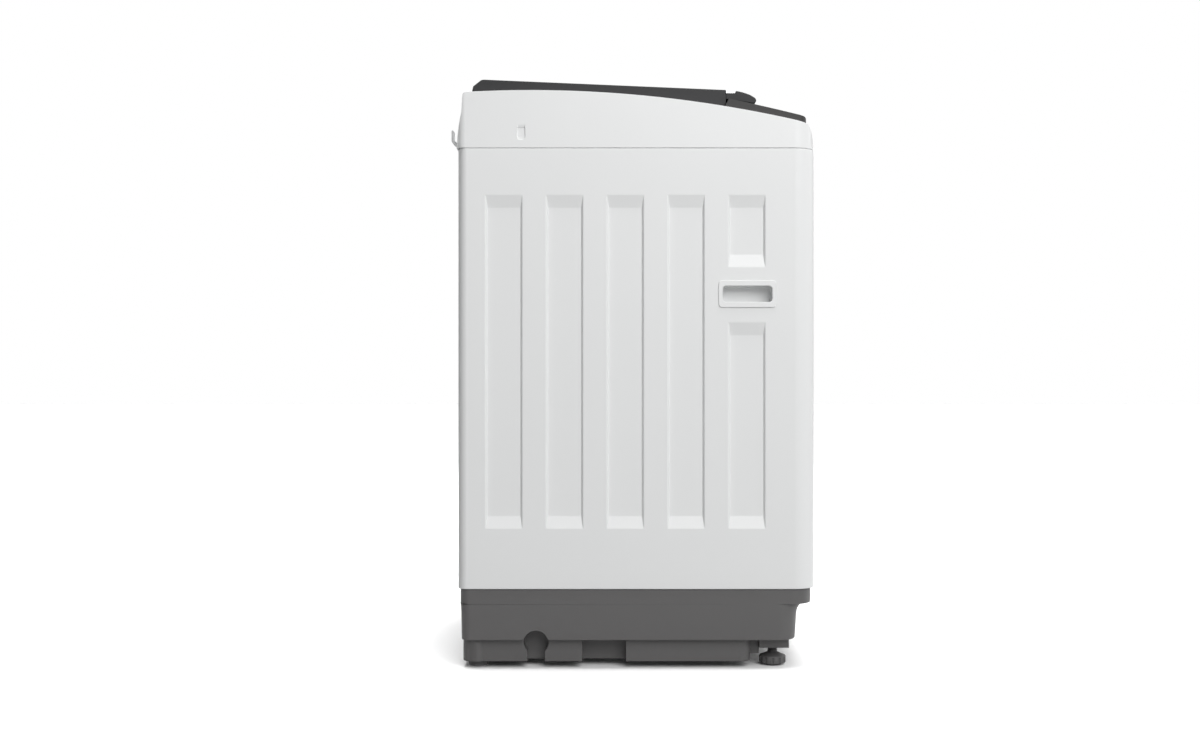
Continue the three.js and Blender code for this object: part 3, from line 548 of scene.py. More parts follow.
# Each finish: its slot, the function that makes its material, and that function's values.
FINISHES = {
    "enamel": ("painted_steel", enamel),
    # ABS from a finely eroded mould: soft and even, and the dark ones nearly matt.
    "white": ("white_plastic", moulded, "moulded_white_abs", "white", 1.1, 0.012, 0.4),
    "dark": (
        "dark_plastic", moulded, "moulded_dark_abs", "dark", 0.9, 0.02, 0.5, 0.05, 0.012, 0.22
    ),
    "panel": (
        "panel_plastic", moulded, "moulded_grey_abs", "panel", 0.9, 0.02, 0.5, 0.05, 0.012, 0.22
    ),
    # Polypropylene: waxy and a little uneven, coarsest where nobody looks.
    "base": (
        "base_plastic", moulded, "moulded_grey_polypropylene", "base", 1.4, 0.05, 0.55, 0.08, 0.03
    ),
    "natural": (
        "tub_plastic", moulded, "natural_polypropylene", "#C9CBC8", 1.5, 0.04, 0.5, 0.06, 0.03
    ),
    "grey": (
        "pulsator_plastic", moulded, "grey_polypropylene", "#9AA0A6", 1.2, 0.03, 0.38, 0.06, 0.02
    ),
    # Moulded rubber: dull, with dust in its grain.
    "rubber": ("rubber", moulded, "moulded_rubber", "#2F2F2F", 0.8, 0.03, 0.75, 0.08, 0.06),
    "foot": ("rubber", moulded, "moulded_grey_rubber", "#6C6C6C", 0.8, 0.03, 0.7, 0.08, 0.04),
    # Silver paint on ABS: a fine metal flake that blurs what it reflects.
    "button": ("button_plastic", metal, "silver_painted_abs", "button", 0.34, 0.04, 0.4, 0.004),
    # Chrome plate: close to a mirror, with only a long, shallow wave.
    "chrome": (
        "chrome", metal, "chrome_plate", "#E8E9EA", 0.08, 0.02, 20, 0.002, (1, 1, 1), 0.01
    ),
    # Rolled stainless sheet: the rolling direction draws the highlights out.
    "stainless": (
        "stainless", metal, "rolled_stainless", "#CDCFD1", 0.26, 0.06, 0.5, 0.006, (1, 1, 0.04)
    ),
    # Zinc plate: cool grey, in large soft patches.
    "zinc": ("zinc_steel", metal, "zinc_plated_steel", "#B3B6B8", 0.36, 0.08, 8, 0.01),
    # Die-cast aluminium: pale and dull, with a sandy skin.
    "cast": ("cast_aluminium", metal, "die_cast_aluminium", "#AEB0B2", 0.5, 0.1, 1.2, 0.05),
    "glass": ("smoked_glass", smoked_glass),
    "lens": ("smoked_glass", black_glass),
    # Lacquered board: green, blotchy from the copper under the lacquer.
    "board": (None, moulded, "lacquered_board", "#2F5A3A", 2, 0.03, 0.45, 0.1, 0.15),
}
MATERIALS = {}


def material(finish):
    """Each finish is made once, when a piece first asks for it."""
    if finish not in MATERIALS:
        _, maker, *values = FINISHES[finish]
        MATERIALS[finish] = maker(*values)
    return MATERIALS[finish]


# Cabinet

GROOVE_FIRST = 203.1 * MM
GROOVE_COUNT = 5
GROOVE_ENDS = (224.2 * MM, 754.1 * MM)
GRIP_GAP = (551.7 * MM, 639.5 * MM)
GRIP_LOW, GRIP_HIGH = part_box("grip_left")
GRIP_Y = (GRIP_LOW[1] + GRIP_HIGH[1]) / 2
GRIP_Z = (GRIP_LOW[2] + GRIP_HIGH[2]) / 2
REAR_HALF = 225 * MM
REAR_ENDS = (150 * MM, 798 * MM)


def groove_spans(sizes):
    """The middle, lower end and upper end of each groove on one side."""
    spans = []
    for i in range(GROOVE_COUNT):
        y = GROOVE_FIRST - i * sizes.groove_pitch
        if i < GROOVE_COUNT - 1:
            spans.append((y, *GROOVE_ENDS))
        else:
            spans.append((y, GROOVE_ENDS[0], GRIP_GAP[0]))
            spans.append((y, GRIP_GAP[1], GROOVE_ENDS[1]))
    return spans


def upright(a, b):
    return abs(a.x - b.x) + abs(a.y - b.y) < NEAR and abs(a.z - b.z) > 10 * MM


def press_groove(sizes, y, low, high):
    half = sizes.groove_width / 2
    edge = WIDTH_HALF - NEAR
    pick_faces(lambda c, n: abs(c.x) > edge and abs(c.y - y) < half and low < c.z < high)
    bpy.ops.mesh.inset(thickness=sizes.groove_side, depth=-sizes.groove_depth)
    floor = WIDTH_HALF - sizes.groove_depth / 2
    run = sizes.groove_ramp - sizes.groove_side
    near = 2 * sizes.groove_side
    for end, slide in ((high, -run), (low, run)):
        pick_points(lambda p: abs(p.y - y) < half and abs(p.x) < floor and abs(p.z - end) < near)
        bpy.ops.transform.translate(value=(0, 0, slide))


def open_flange(sizes, up):
    pick_faces(lambda c, n: n.z * up > 0.9)
    bpy.ops.mesh.inset(thickness=sizes.hem, depth=0)
    bpy.ops.mesh.delete(type="FACE")


def cabinet_shell():
    sizes = cabinet_sizes()
    shell = block("cabinet", CABINET_LOW, CABINET_HIGH)
    front = (CABINET_LOW[1] + CABINET_HIGH[1]) / 2
    editing(shell)
    pick_edges(lambda a, b: upright(a, b) and a.y < front)
    bpy.ops.mesh.bevel(offset=sizes.front_radius, segments=14, affect="EDGES")
    pick_edges(lambda a, b: upright(a, b) and a.y > REAR_FACE - NEAR)
    bpy.ops.mesh.bevel(offset=sizes.rear_radius, segments=12, affect="EDGES")
    open_flange(sizes, 1)
    open_flange(sizes, -1)
    half = sizes.groove_width / 2
    for i in range(GROOVE_COUNT):
        y = GROOVE_FIRST - i * sizes.groove_pitch
        for edge in (y - half, y + half):
            slice_at(edge, "Y")
    for level in (*GROOVE_ENDS, *GRIP_GAP):
        slice_at(level, "Z")
    for y, low, high in groove_spans(sizes):
        press_groove(sizes, y, low, high)
    for edge in (-REAR_HALF, REAR_HALF):
        slice_at(edge, "X")
    for level in REAR_ENDS:
        slice_at(level, "Z")
    pick_faces(
        lambda c, n: c.y > REAR_FACE - NEAR
        and abs(c.x) < REAR_HALF
        and REAR_ENDS[0] < c.z < REAR_ENDS[1]
    )
    bpy.ops.mesh.delete(type="FACE")
    finish_editing()
    soften(shell, sizes.fold / MM, 3, 9)
    apply_modifier(shell, "SOLIDIFY", thickness=sizes.sheet, offset=-1)
    holes = [
        plate(
            "grip_hole",
            rounded(GRIP_Y / MM - 41.3, GRIP_Y / MM + 41.3, GRIP_Z / MM - 14.8, GRIP_Z / MM + 14.8, 7),
            "X", side * 260, side * 290,
        )
        for side in SIDES
    ]
    carve(shell, *holes)
    place(shade(shell, 32), "cabinet", "enamel", "cabinet_shell")


def corner_gussets():
    """Folded plates in the upper corners, which the tub's rods hang from."""
    reach = 128
    plates = []
    for side in SIDES:
        for end in SIDES:
            x = side * (HALF_MM - 4)
            y = REAR_MM - 5 if end > 0 else CABINET_LOW[1] / MM + 5
            inset = 12 if end > 0 else 32
            outline = [
                (x, y - end * inset), (x - side * inset, y), (x - side * reach, y),
                (x, y - end * reach),
            ]
            gusset = plate("gusset", outline, "Z", 812, 814)
            hole = drill(side * ROD_X, AXIS_MM + end * ROD_Y, 7, 800, 830, 24)
            plates.append(soften(carve(gusset, hole), 0.4, 2))
    place(joined("corner_gussets", plates), "cabinet", "zinc")


RIB_EDGES = (-170, -110, -30, 30, 110, 170)
RIB_ENDS = (205, 700)


def rear_panel():
    low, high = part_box("rear_panel")
    panel = block("rear_panel_sheet", (low[0], high[1] - 0.8 * MM, low[2]), high)
    editing(panel)
    for x in RIB_EDGES:
        slice_at(x * MM, "X")
    for level in RIB_ENDS:
        slice_at(level * MM, "Z")
    for left, right in zip(RIB_EDGES[::2], RIB_EDGES[1::2]):
        for face, depth in ((1, -4), (-1, 4)):
            pick_faces(
                lambda c, n: n.y * face > 0.9
                and left * MM < c.x < right * MM
                and RIB_ENDS[0] * MM < c.z < RIB_ENDS[1] * MM
            )
            bpy.ops.mesh.inset(thickness=6 * MM, depth=depth * MM)
    finish_editing()
    middle = [(a + b) / 2 / MM for a, b in zip(*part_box("cord_gland"))]
    hole = turn_over(drill(0, 0, 8.5, -20, 20, 32), "X", pi / 2)
    carve(panel, shift(hole, *middle))
    place(soften(panel, 0.35, 2, 25), "cabinet", "zinc", "rear_panel")


def round_along_y(piece, x, z, y):
    """Lays a piece that was turned about the origin along Y, its foot at y."""
    return shift(turn_over(piece, "X", -pi / 2), x, y, z)


def cord_gland():
    low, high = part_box("cord_gland")
    x, z = (low[0] + high[0]) / 2 / MM, (low[2] + high[2]) / 2 / MM
    outline = [(4, 0), (8, 0), (8, 8.2), (12, 8.2), (12.8, 9), (12.8, 10), (11.5, 11), (4, 11)]
    gland = round_along_y(turned("cord_grommet", outline, 0, 0, 48), x, z, low[1] / MM)
    place(soften(gland, 0.3, 2), "cabinet", "rubber", "cord_gland")


def pan_head(name, radius=4.2):
    """A pan-head screw with a cross recess, its seat at the origin and its head up."""
    head = turned(
        name, [(0, 0), (radius, 0), (radius, 0.7), (radius * 0.75, 1.8), (0, 2.2)],
        0, 0, 20, closed=False,
    )
    bars = [
        block_mm("bar", -radius / 2, radius / 2, -0.45, 0.45, 1.2, 4),
        block_mm("bar", -0.45, 0.45, -radius / 2, radius / 2, 1.2, 4),
    ]
    return shade(carve(head, *bars), 50)


def rear_screws():
    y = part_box("rear_panel")[1][1] / MM
    lip = y + 1.6
    spots = [(x, z, lip if x else y) for x in (-235, 0, 235) for z in (142, 804)]
    spots += [(x, z, lip) for x in (-235, 235) for z in (360, 590)]
    screws = [round_along_y(pan_head("screw"), *spot) for spot in spots]
    place(joined("rear_screws", screws), "cabinet", "zinc")


def grips():
    y, z = GRIP_Y / MM, GRIP_Z / MM
    half, tall = 39.5, 13
    face, back = HALF_MM + 1.5, HALF_MM + 0.3
    bezel = plate("hand_grip", rounded(y - 46, y + 46, z - 21.5, z + 21.5, 6, steps=10), "X", back, face)
    soften(bezel, 0.9, 3)
    cup = plate(
        "cup", rounded(y - half - 1.5, y + half + 1.5, z - tall - 1.5, z + tall + 1.5, 7),
        "X", face - 30, face - 0.6,
    )
    fuse(bezel, cup)
    mouth = rounded(y - half, y + half, z - tall, z + tall, 5.5, steps=8)
    carve(bezel, plate("mouth", mouth, "X", face - 28.3, face + 5))
    soften(bezel, 0.5, 3, 50)
    other = mirrored(bezel, "hand_grip_left")
    bezel.name = "hand_grip_right"
    shade(other)
    place(bezel, "cabinet", "white", "grip_right")
    place(other, "cabinet", "white", "grip_left")


# Base

SKIRT_LOW = 10.7


def plan_ring(half, front, rear, front_radius, rear_radius, z):
    outline = rounded(-half, half, front, rear, front_radius, rear_radius, 12)
    return [(x, y, z) for x, y in outline]


def base_shell():
    sizes = base_sizes()
    half, rear = BASE_HIGH[0] / MM, BASE_HIGH[1] / MM
    front, top = BASE_LOW[1] / MM, BASE_HIGH[2] / MM
    toe = front + sizes.toe_depth / MM
    wall = sizes.wall / MM
    # Each ring: in from the side, from the toe, in from the rear, front and rear radius, height.
    rings = (
        (1.5, 4.5, 2.6, 29, 13, 46.5), (0.4, 3.4, 1.9, 30, 14, 48), (0, 1, 1.2, 30, 15, 84),
        (0, 0, 1, 30, 15, 91), (0, -1.8, 0.8, 32, 15, 95.5), (0, -5, 0.6, 37, 15, 98.8),
        (0, -10, 0.4, 44, 15, 101.4), (0, -17, 0.1, 52, 15, 103.8), (0, -17, 0.1, 52, 15, 106),
    )
    outer = loft("base_shell", [
        plan_ring(half - side, toe + front_in, rear - rear_in, *radii, z)
        for side, front_in, rear_in, *radii, z in rings
    ])
    rim = plate("rim", rounded(-half, half, front, rear, 36, 15, 12), "Z", 104, top)
    round_edges(rim, 1.1, lambda p: p.z > top - 1 or p.y < front + 30, 60, 3)
    fuse(outer, rim)
    skirt = plate("skirt", rounded(-260, 260, -191, 270, 18, 14, 10), "Z", SKIRT_LOW, 50)
    soften(skirt, 1.2, 3, 50)
    fuse(outer, skirt)
    pillars = []
    for side in SIDES:
        low, high = sorted((side * 212, side * 263.5))
        outline = rounded(low, high, 231.6, 263.4, 15.8, steps=12)
        pillars.append(plate("pillar", outline, "Z", 10.9, 60))
        pillars.append(drill(side * FOOT_X, FOOT_Y, 15, 32, 68, 40))
        pillars.append(block_mm("foot_seat", side * 200, side * 248, -253, -205, 30, 52))
        pillars.append(block_mm("foot_web", side * 206, side * 236, -206, -186, 19, 52))
    inside = [
        plate("room", rounded(-half + wall, half - wall, toe + wall + 3, rear - wall - 2,
                              27, 11), "Z", 49.5, top - 3),
        plate("opening", rounded(-half + 26, half - 26, toe + 26, rear - 26, 12, 4),
              "Z", 60, top + 5),
        plate("skirt_room", rounded(-256, 256, -187, 266, 14, 10), "Z", 0, 55),
    ]
    carve(outer, *inside)
    recesses = [block_mm("back", side * 232, side * 259, 5, 83, SKIRT_LOW, 50) for side in SIDES]
    recesses.append(block_mm("notch_box", -257, -235, 128, 177, SKIRT_LOW, 64))
    fuse(outer, *recesses, *pillars)
    tools = []
    for side in SIDES:
        tools.append(block_mm("recess", side * 236, side * 290, 9, 79, 0, 46.5))
        tools.append(drill(side * FOOT_X, FOOT_Y, 8.6, 0, 90, 32))
        tools.append(drill(side * STUD_X, STUD_Y, 4.5, 0, 40, 24))
    notch_y, notch_z, notch = 152.5, 42, sizes.notch / MM
    neck = 14
    slant = degrees(asin(neck / notch))
    notch_shape = [
        (notch_y - neck, 0), (notch_y + neck, 0),
        *arc(notch_y, notch_z, notch, -90 + slant, 270 - slant, 31),
    ]
    tools.append(plate("hose_notch", notch_shape, "X", -300, -237.5))
    carve(outer, *tools)
    place(soften(outer, 0.45, 2, 50), "cabinet", "base", "base_frame")


def front_feet():
    sizes = base_sizes()
    pad, stem, spokes = sizes.foot_pad / MM, sizes.stem / MM, 72
    thread = []
    z = 20.0
    while z < 58:
        thread += [(stem - 1.1, z), (stem, z + 0.7), (stem, z + 1.2), (stem - 1.1, z + 1.9)]
        z += 2.4
    foot = turned("levelling_foot", [
        (0, 0), (14, 0), (15, 1), (15, 3), (pad - 1, 3), (pad, 4), (pad, 13.4), (pad - 1.2, 15),
        (pad - 6, 16.4), (stem + 4, 18.4), (stem + 1.5, 19.4), *thread, (stem - 1.1, 60), (0, 60),
    ], FOOT_X, FOOT_Y, spokes)
    editing(foot)
    centre = Vector((FOOT_X * MM, FOOT_Y * MM, 0))

    def knurl(c, n):
        out = c - centre
        spoke = int((atan2(out.y, out.x) + pi) / (2 * pi) * spokes)
        outer = hypot(out.x, out.y) > (pad - 0.8) * MM
        return outer and 3.5 * MM < c.z < 14 * MM and spoke % 6 < 2

    pick_faces(knurl)
    bpy.ops.mesh.extrude_region_shrink_fatten(TRANSFORM_OT_shrink_fatten={"value": -1.4 * MM})
    finish_editing()
    soften(foot, 0.25, 2, 35)
    other = mirrored(foot, "levelling_foot_left")
    foot.name = "levelling_foot_right"
    place(foot, "front_foot_right", "base", "front_foot_right")
    place(other, "front_foot_left", "base", "front_foot_left")


def rear_feet():
    for side, word in zip(SIDES, ("left", "right")):
        foot = turned(f"rear_foot_pad_{word}", [
            (0, 0), (14.3, 0), (15.5, 1.2), (15.5, 7.2), (14.7, 8), (11.5, 8.4),
            (11.5, 10.4), (4, 10.4), (4, 30), (0, 30),
        ], side * STUD_X, STUD_Y, 64)
        place(shade(foot), "cabinet", "foot", f"rear_foot_{word}")


# Top cover

# The cover's upper edge is an arc whose highest point is this high, at this y.
CROWN, CROWN_Y = 920.4, 161.0
RAIL_HALF = 265
# Tools that cut down from above end here, clear of the cover.
TOOL_TOP = 960
LINE_DEPTH = 0.12
LEDGE_FRONT = -152
# The front, rear and floor of each room in the cover, after its half width where it has its own.
TROUGH = (225, 261, 909)
WELL = (215, -145, 190, 869)
BAY = (255, -268, -160, 841)
COVER_FRONT, COVER_REAR = -292.8, 279.4
HINGE_Y, HINGE_Z, EAR_X = 245, 923, 243
VALVE_X, VALVE_Z = 145, 862


def cover_top(y):
    return CROWN - (y - CROWN_Y) ** 2 / (2 * top_sizes().crown_radius / MM)


def cover_outline(inset=0):
    """The cover from the side; it starts over a shadow gap."""
    low = 829.3 if inset == 0 else 828.3 - inset * 2
    return [
        (COVER_FRONT + inset, low), (-292.2 + inset, 836), (-290.4 + inset, 846),
        (-287.6 + inset, 857 - inset), (-284.6 + inset, 864 - inset), (-281 + inset, 867.6 - inset),
        *sampled(-276 + inset, 262 - inset, 40, lambda y: cover_top(y) - inset),
        (267.2 - inset, 916.6 - inset), (268.8 - inset, 914 - inset), (269.2 - inset, 911 - inset),
        (270.8 - inset, 887), (273.8 - inset, 872), (276.8 - inset, 854), (COVER_REAR - inset, low),
    ]


def cover_plan(inset=0):
    half = HALF_MM - inset
    radius = cabinet_sizes().front_radius / MM - inset
    rear = cabinet_sizes().rear_radius / MM - inset
    return rounded(-half, half, COVER_FRONT + inset, COVER_REAR - inset, radius, rear, 12)


def cover_body(name, inset, low):
    half = HALF_MM + 5
    body = plate(name, cover_outline(inset), "X", -half, half)
    return keep_common(body, plate("plan", cover_plan(inset), "Z", low, TOOL_TOP))


def ledge_tool(drop, name="ledge"):
    run = sampled(LEDGE_FRONT, TROUGH[1], 30, lambda y: cover_top(y) - drop)
    outline = [(LEDGE_FRONT, TOOL_TOP), *run, (TROUGH[1], TOOL_TOP)]
    return plate(name, outline, "X", -RAIL_HALF, RAIL_HALF)


def room(name, half, front, rear, floor, grow, radius):
    """A round-cornered room, cut down from above."""
    outline = rounded(-half - grow, half + grow, front - grow, rear + grow, radius + grow, steps=6)
    return plate(name, outline, "Z", floor - grow, TOOL_TOP)


def cover_rooms(grow):
    """The hinge trough, the well round the drum's mouth and the bay under the panel."""
    return [
        room("trough", RAIL_HALF, *TROUGH, grow, 2), room("well", *WELL, grow, 12),
        room("bay", *BAY, grow, 4),
    ]


def loading_outline(radius):
    """A round mouth with a straight front edge."""
    front = WELL[1] + 6
    start = degrees(asin((front - AXIS_MM) / radius))
    return arc(0, AXIS_MM, radius, start, 180 - start, 56)


def hinge_ear(side):
    x = side * EAR_X
    outline = [(HINGE_Y - 5.5, 905), (HINGE_Y + 5.5, 905), *arc(HINGE_Y, HINGE_Z, 5.5, 0, 180, 12)]
    ear = plate("ear", outline, "X", x - 3, x + 3)
    hole = plate("hole", arc(HINGE_Y, HINGE_Z, 3.5, 0, 345, 23), "X", x - 9, x + 9)
    return carve(ear, hole)


def top_cover():
    wall = top_sizes().wall / MM
    drop = top_sizes().ledge_drop / MM
    cover = cover_body("cover", 0, 828.3)
    round_edges(cover, 2.2, lambda p: p.z > 866, 30)
    fuse(cover, plate("rebate", cover_plan(1.4), "Z", 828.3, 832))
    hollow = cover_body("hollow", wall, 800)
    collar = plate("collar", loading_outline(193.5), "Z", 845, 872)
    shelf = carve(ledge_tool(drop + wall, "shelf"), ledge_tool(drop))
    carve(hollow, shelf, *cover_rooms(wall), collar)
    carve(cover, hollow)
    carve(cover, ledge_tool(drop), *cover_rooms(0))
    carve(cover, plate("mouth", loading_outline(190), "Z", 820, 900))
    lip = block_mm("lip", -210, 210, REAR_MM + 0.4, 279.2, 822, 836)
    fuse(cover, lip, *[hinge_ear(side) for side in SIDES])
    tools = [block_mm("drawer_hole", -60, 60, 186, 196, 874.5, 902)]
    valve_hole = plate("valve_hole", arc(VALVE_X, VALVE_Z, 17, 0, 350, 35), "Y", 255, 290)
    tools.append(valve_hole)
    half = HALF_MM
    for side in SIDES:
        pocket = [(169.6, 861), (169.2, 848), *arc(175.7, 848, 6.7, 180, 360, 16), (181.8, 861)]
        tools.append(plate("pocket", pocket, "X", side * (half - 2.2), side * (half + 2)))
        ramp = [(half - 2.2, 860), (half + 2, 860), (half + 2, 866.8), (half, 866.8)]
        ramp = [(side * x, z) for x, z in ramp]
        tools.append(plate("pocket_ramp", ramp, "Y", 169.8, 181.6))
    lines = []
    for side in SIDES:
        ends = (side * (half - LINE_DEPTH), side * (half + 1))
        for y, top in ((185.6, 863), (-222, 846)):
            lines.append(block_mm("witness_line", *ends, y - 0.25, y + 0.25, 831, top))
        ring = [(4.9, -0.2), (5.5, -0.2), (5.5, 2), (4.9, 2)]
        circle = turn_over(turned("cap_ring", ring, 0, 0, 40), "Y", side * pi / 2)
        lines.append(shift(circle, side * half, -232.4, 847))
    carve(cover, *tools, *lines)

    def not_a_line(p):
        return abs(p.x) < half - 0.3 or p.z < 830.5 or 168 < p.y < 183

    round_edges(cover, 0.45, not_a_line, 50, 2, clamp=False)
    place(shade(cover), "cabinet", "white", "top_cover")


def hose_hook():
    outline = [
        (279.4, 833), (281.6, 833), (282.4, 838), (284.5, 841.4), (291.2, 847.6),
        (293.1, 850.4), (293.5, 853), *arc(291.75, 867.2, 1.75, 0, 180, 8),
        (290, 853.5), (288.9, 851.8), (280.5, 846.4), (278.6, 846.2), (278.4, 845.8),
    ]
    hook = plate("drain_hose_hook", outline, "X", -206, -184)
    round_edges(hook, 0.6, lambda p: abs(p.x + 195) > 10.9, 40, 3)
    place(shade(hook), "cabinet", "white", "hose_hook")


# Control panel

PANEL_NOSE, PANEL_REAR, PANEL_TOP = -278.8, -154.4, 907.5
FASCIA_Y = -241
FASCIA_SLOPE, FASCIA_BEND = 0.2076, 0.000179
BUTTONS = (
    ("power_button", -205, 12),
    ("water_level_button", -150, 9),
    ("temperature_button", -110, 9),
    ("program_button", 110, 9),
    ("delay_button", 150, 9),
    ("start_button", 205, 12),
)


def panel_top(y):
    run = PANEL_REAR - y
    return PANEL_TOP - FASCIA_SLOPE * run - FASCIA_BEND * run**2


FASCIA_TILT = atan(FASCIA_SLOPE + 2 * FASCIA_BEND * (PANEL_REAR - FASCIA_Y))


def on_fascia(piece):
    """Moves a piece made round the origin, +Z up, onto the sloping fascia."""
    return shift(turn_over(piece, "X", FASCIA_TILT), 0, FASCIA_Y, panel_top(FASCIA_Y))


def control_panel():
    wall = top_sizes().panel_wall / MM
    outline = [
        *sampled(PANEL_NOSE, -148.9, 24, lambda y: cover_top(y) + 0.3), (-148.9, 897.2),
        *sampled(PANEL_REAR, -270, 20, panel_top), (-274.5, 880.2), (-277, 878.7), (-278.4, 876.3),
        (PANEL_NOSE, 873),
    ]
    half = PANEL_HIGH[0] / MM
    panel = plate("fascia_panel", outline, "X", -half, half)
    plan = rounded(-half, half, PANEL_NOSE, -140, 14, 0.5, 12)
    keep_common(panel, plate("plan", plan, "Z", 840, 940))
    round_edges(panel, 1.6, lambda p: p.z > cover_top(p.y) + 4)
    hollow = [
        (-274, 830), (-151.5, 830),
        *sampled(PANEL_REAR - 3, -268, 16, lambda y: panel_top(y) - wall), (-274, 872),
    ]
    carve(panel, plate("hollow", hollow, "X", -263, 263))
    scoop_floor = [
        (-148.95, 892), *sampled(-153, -205, 8, lambda y: panel_top(y) - 17), (-212, 881.6),
        (-222.5, 888.5), *sampled(-222.5, PANEL_REAR - 1, 12, lambda y: panel_top(y) - 0.6),
        (-149, 897),
    ]
    fuse(panel, plate("scoop_floor", scoop_floor, "X", -78, 78))
    scoop = [
        (-145, 894), *sampled(-153, -203, 8, lambda y: panel_top(y) - 14), (-208, 885.4),
        (-214, 889.4), (-219, 895), (-222, 905), (-222, TOOL_TOP), (-145, TOOL_TOP),
    ]
    scoop_tool = plate("scoop", scoop, "X", -75, 75)
    soften(scoop_tool, 5, 4, 60)
    carve(panel, scoop_tool)
    for _, x, radius in BUTTONS:
        carve(panel, on_fascia(drill(x, 0, radius + 0.4, -9, 6, 40)))
    window = plate("window", rounded(-72.3, 72.3, -15.3, 15.3, 3.3), "Z", -2, 6)
    carve(panel, on_fascia(window))
    place(soften(panel, 0.35, 2, 50), "cabinet", "panel", "control_panel")


def display_window():
    lens = plate("display_lens", rounded(-72, 72, -15, 15, 3), "Z", -1.7, 0.15)
    soften(on_fascia(lens), 0.35, 3, 50)
    place(lens, "cabinet", "lens", "display_window")


def buttons():
    for name, x, radius in BUTTONS:
        dish = radius - 2.6
        cap = turned(name + "_cap", [
            (0, 1.0), (dish * 0.6, 1.06), (dish, 1.25), (radius - 1.6, 1.6), (radius - 0.8, 1.5),
            (radius - 0.2, 1.0), (radius, 0.3), (radius, -4), (radius + 2, -4),
            (radius + 2, -5.2), (3, -5.2), (3, -8), (0, -8),
        ], x, 0, 56)
        shade(on_fascia(cap), 45)
        place(cap, name, "button", name)


def button_marks():
    """A small raised ring round each button, and dots that stand for lamps."""
    marks = []
    for _, x, radius in BUTTONS:
        r = radius + 2.6
        marks.append(on_fascia(turned(
            "ring", [(r, -0.6), (r + 0.9, -0.6), (r + 0.9, 0.25), (r, 0.25)], x, 0, 56
        )))
    for i in range(5):
        marks.append(on_fascia(turned(
            "lamp", [(0, -0.6), (1.3, -0.6), (1.3, 0.2), (0, 0.45)], -32 + i * 16, 17.5, 20,
        )))
    whole = joined("fascia_marks", marks)
    place(shade(whole), "cabinet", "button")


# Lid

LID_HALF = 263
LID_SLOPE = 0.04278
LID_FRONT = -150.3


def lid_top(y):
    return LID_HIGH[2] / MM - (235.4 - y) * LID_SLOPE


def lid_edge(y):
    sizes = top_sizes()
    return cover_top(y) - (sizes.ledge_drop - sizes.lid_gap) / MM


def lid_frame():
    outline = [
        *sampled(-146.4, 226, 30, lid_edge), (249, 916.5), (254.2, 920.2), (254.6, 921.4),
        (252.9, 928.9), (241, 938.2), (238.5, 939.3), (235.4, lid_top(235.4)),
        (LID_FRONT, lid_top(LID_FRONT)), (LID_FRONT, 902.2), (-147.8, 897),
    ]
    lid = plate("lid_cover", outline, "X", -LID_HALF, LID_HALF)
    round_edges(lid, 1.6, lambda p: p.z > lid_edge(p.y) + 4 and p.z > 923)
    hollow = [
        (-143, 870), (250, 870), (250.5, 921), (248, 927), (242, 931.8),
        (236, lid_top(236) - 7), (-143, lid_top(-143) - 7),
    ]
    carve(lid, plate("hollow", hollow, "X", -LID_HALF + 3, LID_HALF - 3))
    carve(lid, lid_level("seat", 205.3, -112.3, 196.3, 7.3, 4.3, 40))
    carve(lid, lid_level("window", 193, -100, 184, 16, 40, 40))
    for side in SIDES:
        x = side * EAR_X
        carve(lid, block_mm("slot", x - 5, x + 5, HINGE_Y - 7, 262, 912, HINGE_Z + 7.5))
        ends = sorted((x - side * 6, side * (LID_HALF - 1)))
        fuse(lid, plate("pin", arc(HINGE_Y, HINGE_Z, 3, 0, 345, 23), "X", *ends))
    place(soften(lid, 0.5, 2, 50), "lid", "dark", "lid_frame")


def lid_level(name, half, front, rear, radius, below, above):
    """A round-cornered slab that follows the slope of the lid's top."""
    slab = plate(name, rounded(-half, half, front, rear, radius, radius, 8), "Z", -below, above)
    for point in slab.data.vertices:
        point.co.z += lid_top(point.co.y / MM) * MM
    return slab


def lid_glass():
    glass = lid_level("lid_pane", 205, -112, 196, 7, top_sizes().glass / MM, 0)
    place(soften(glass, 0.5, 3, 50), "lid", "glass", "lid_glass")


def lid_handle():
    outline = [
        (LID_FRONT - 0.05, 908.6), (-191.6, 902.1), (-194.2, 901.9), (-196.9, 902.8),
        (-198.5, 904.7), (-198.9, 906.6), (-198.2, 908.9), (-196.8, 910.6), (-193.6, 912.7),
        (-188.5, 915.6), (-182.2, 917.9), (-176.5, 919.7), (-170.5, 921), (-165.6, 921.8),
        (-165.6, 917.6), (LID_FRONT - 0.05, 917.6),
    ]
    handle = plate("lid_pull", outline, "X", -LID_HALF, LID_HALF)
    place(soften(handle, 1.2, 4, 40), "lid", "dark", "lid_handle")


def lid_trim():
    outline = [
        (LID_FRONT - 0.05, 917.7), (-165.3, 917.7), (-165.3, 922), (-164, 922.9),
        (-158, 923.6), (-152, 923.8), (LID_FRONT - 0.05, 923.4),
    ]
    half = LID_HALF + 0.5
    trim = plate("lid_strip", outline, "X", -half, half)
    place(soften(trim, 0.8, 3, 40), "lid", "chrome", "lid_trim")


# Detergent box


def detergent_drawer():
    front = block_mm("soap_drawer", -63, 63, 184, 188, 872, 905)
    soften(front, 1.4, 4)
    body = block_mm("body", -58, 58, 187, 250, 876, 900)
    fuse(front, body)
    rooms = [
        plate("powder", rounded(-56, 8, 190, 248, 6, 6), "Z", 878, 930),
        plate("softener", rounded(10, 56, 190, 248, 6, 6), "Z", 878, 930),
        plate("pull", rounded(-24, 24, 896, 915, 6, 6), "Y", 180, 186.6),
    ]
    carve(front, *rooms)
    place(soften(front, 0.5, 2, 50), "detergent_drawer", "white", "detergent_drawer")


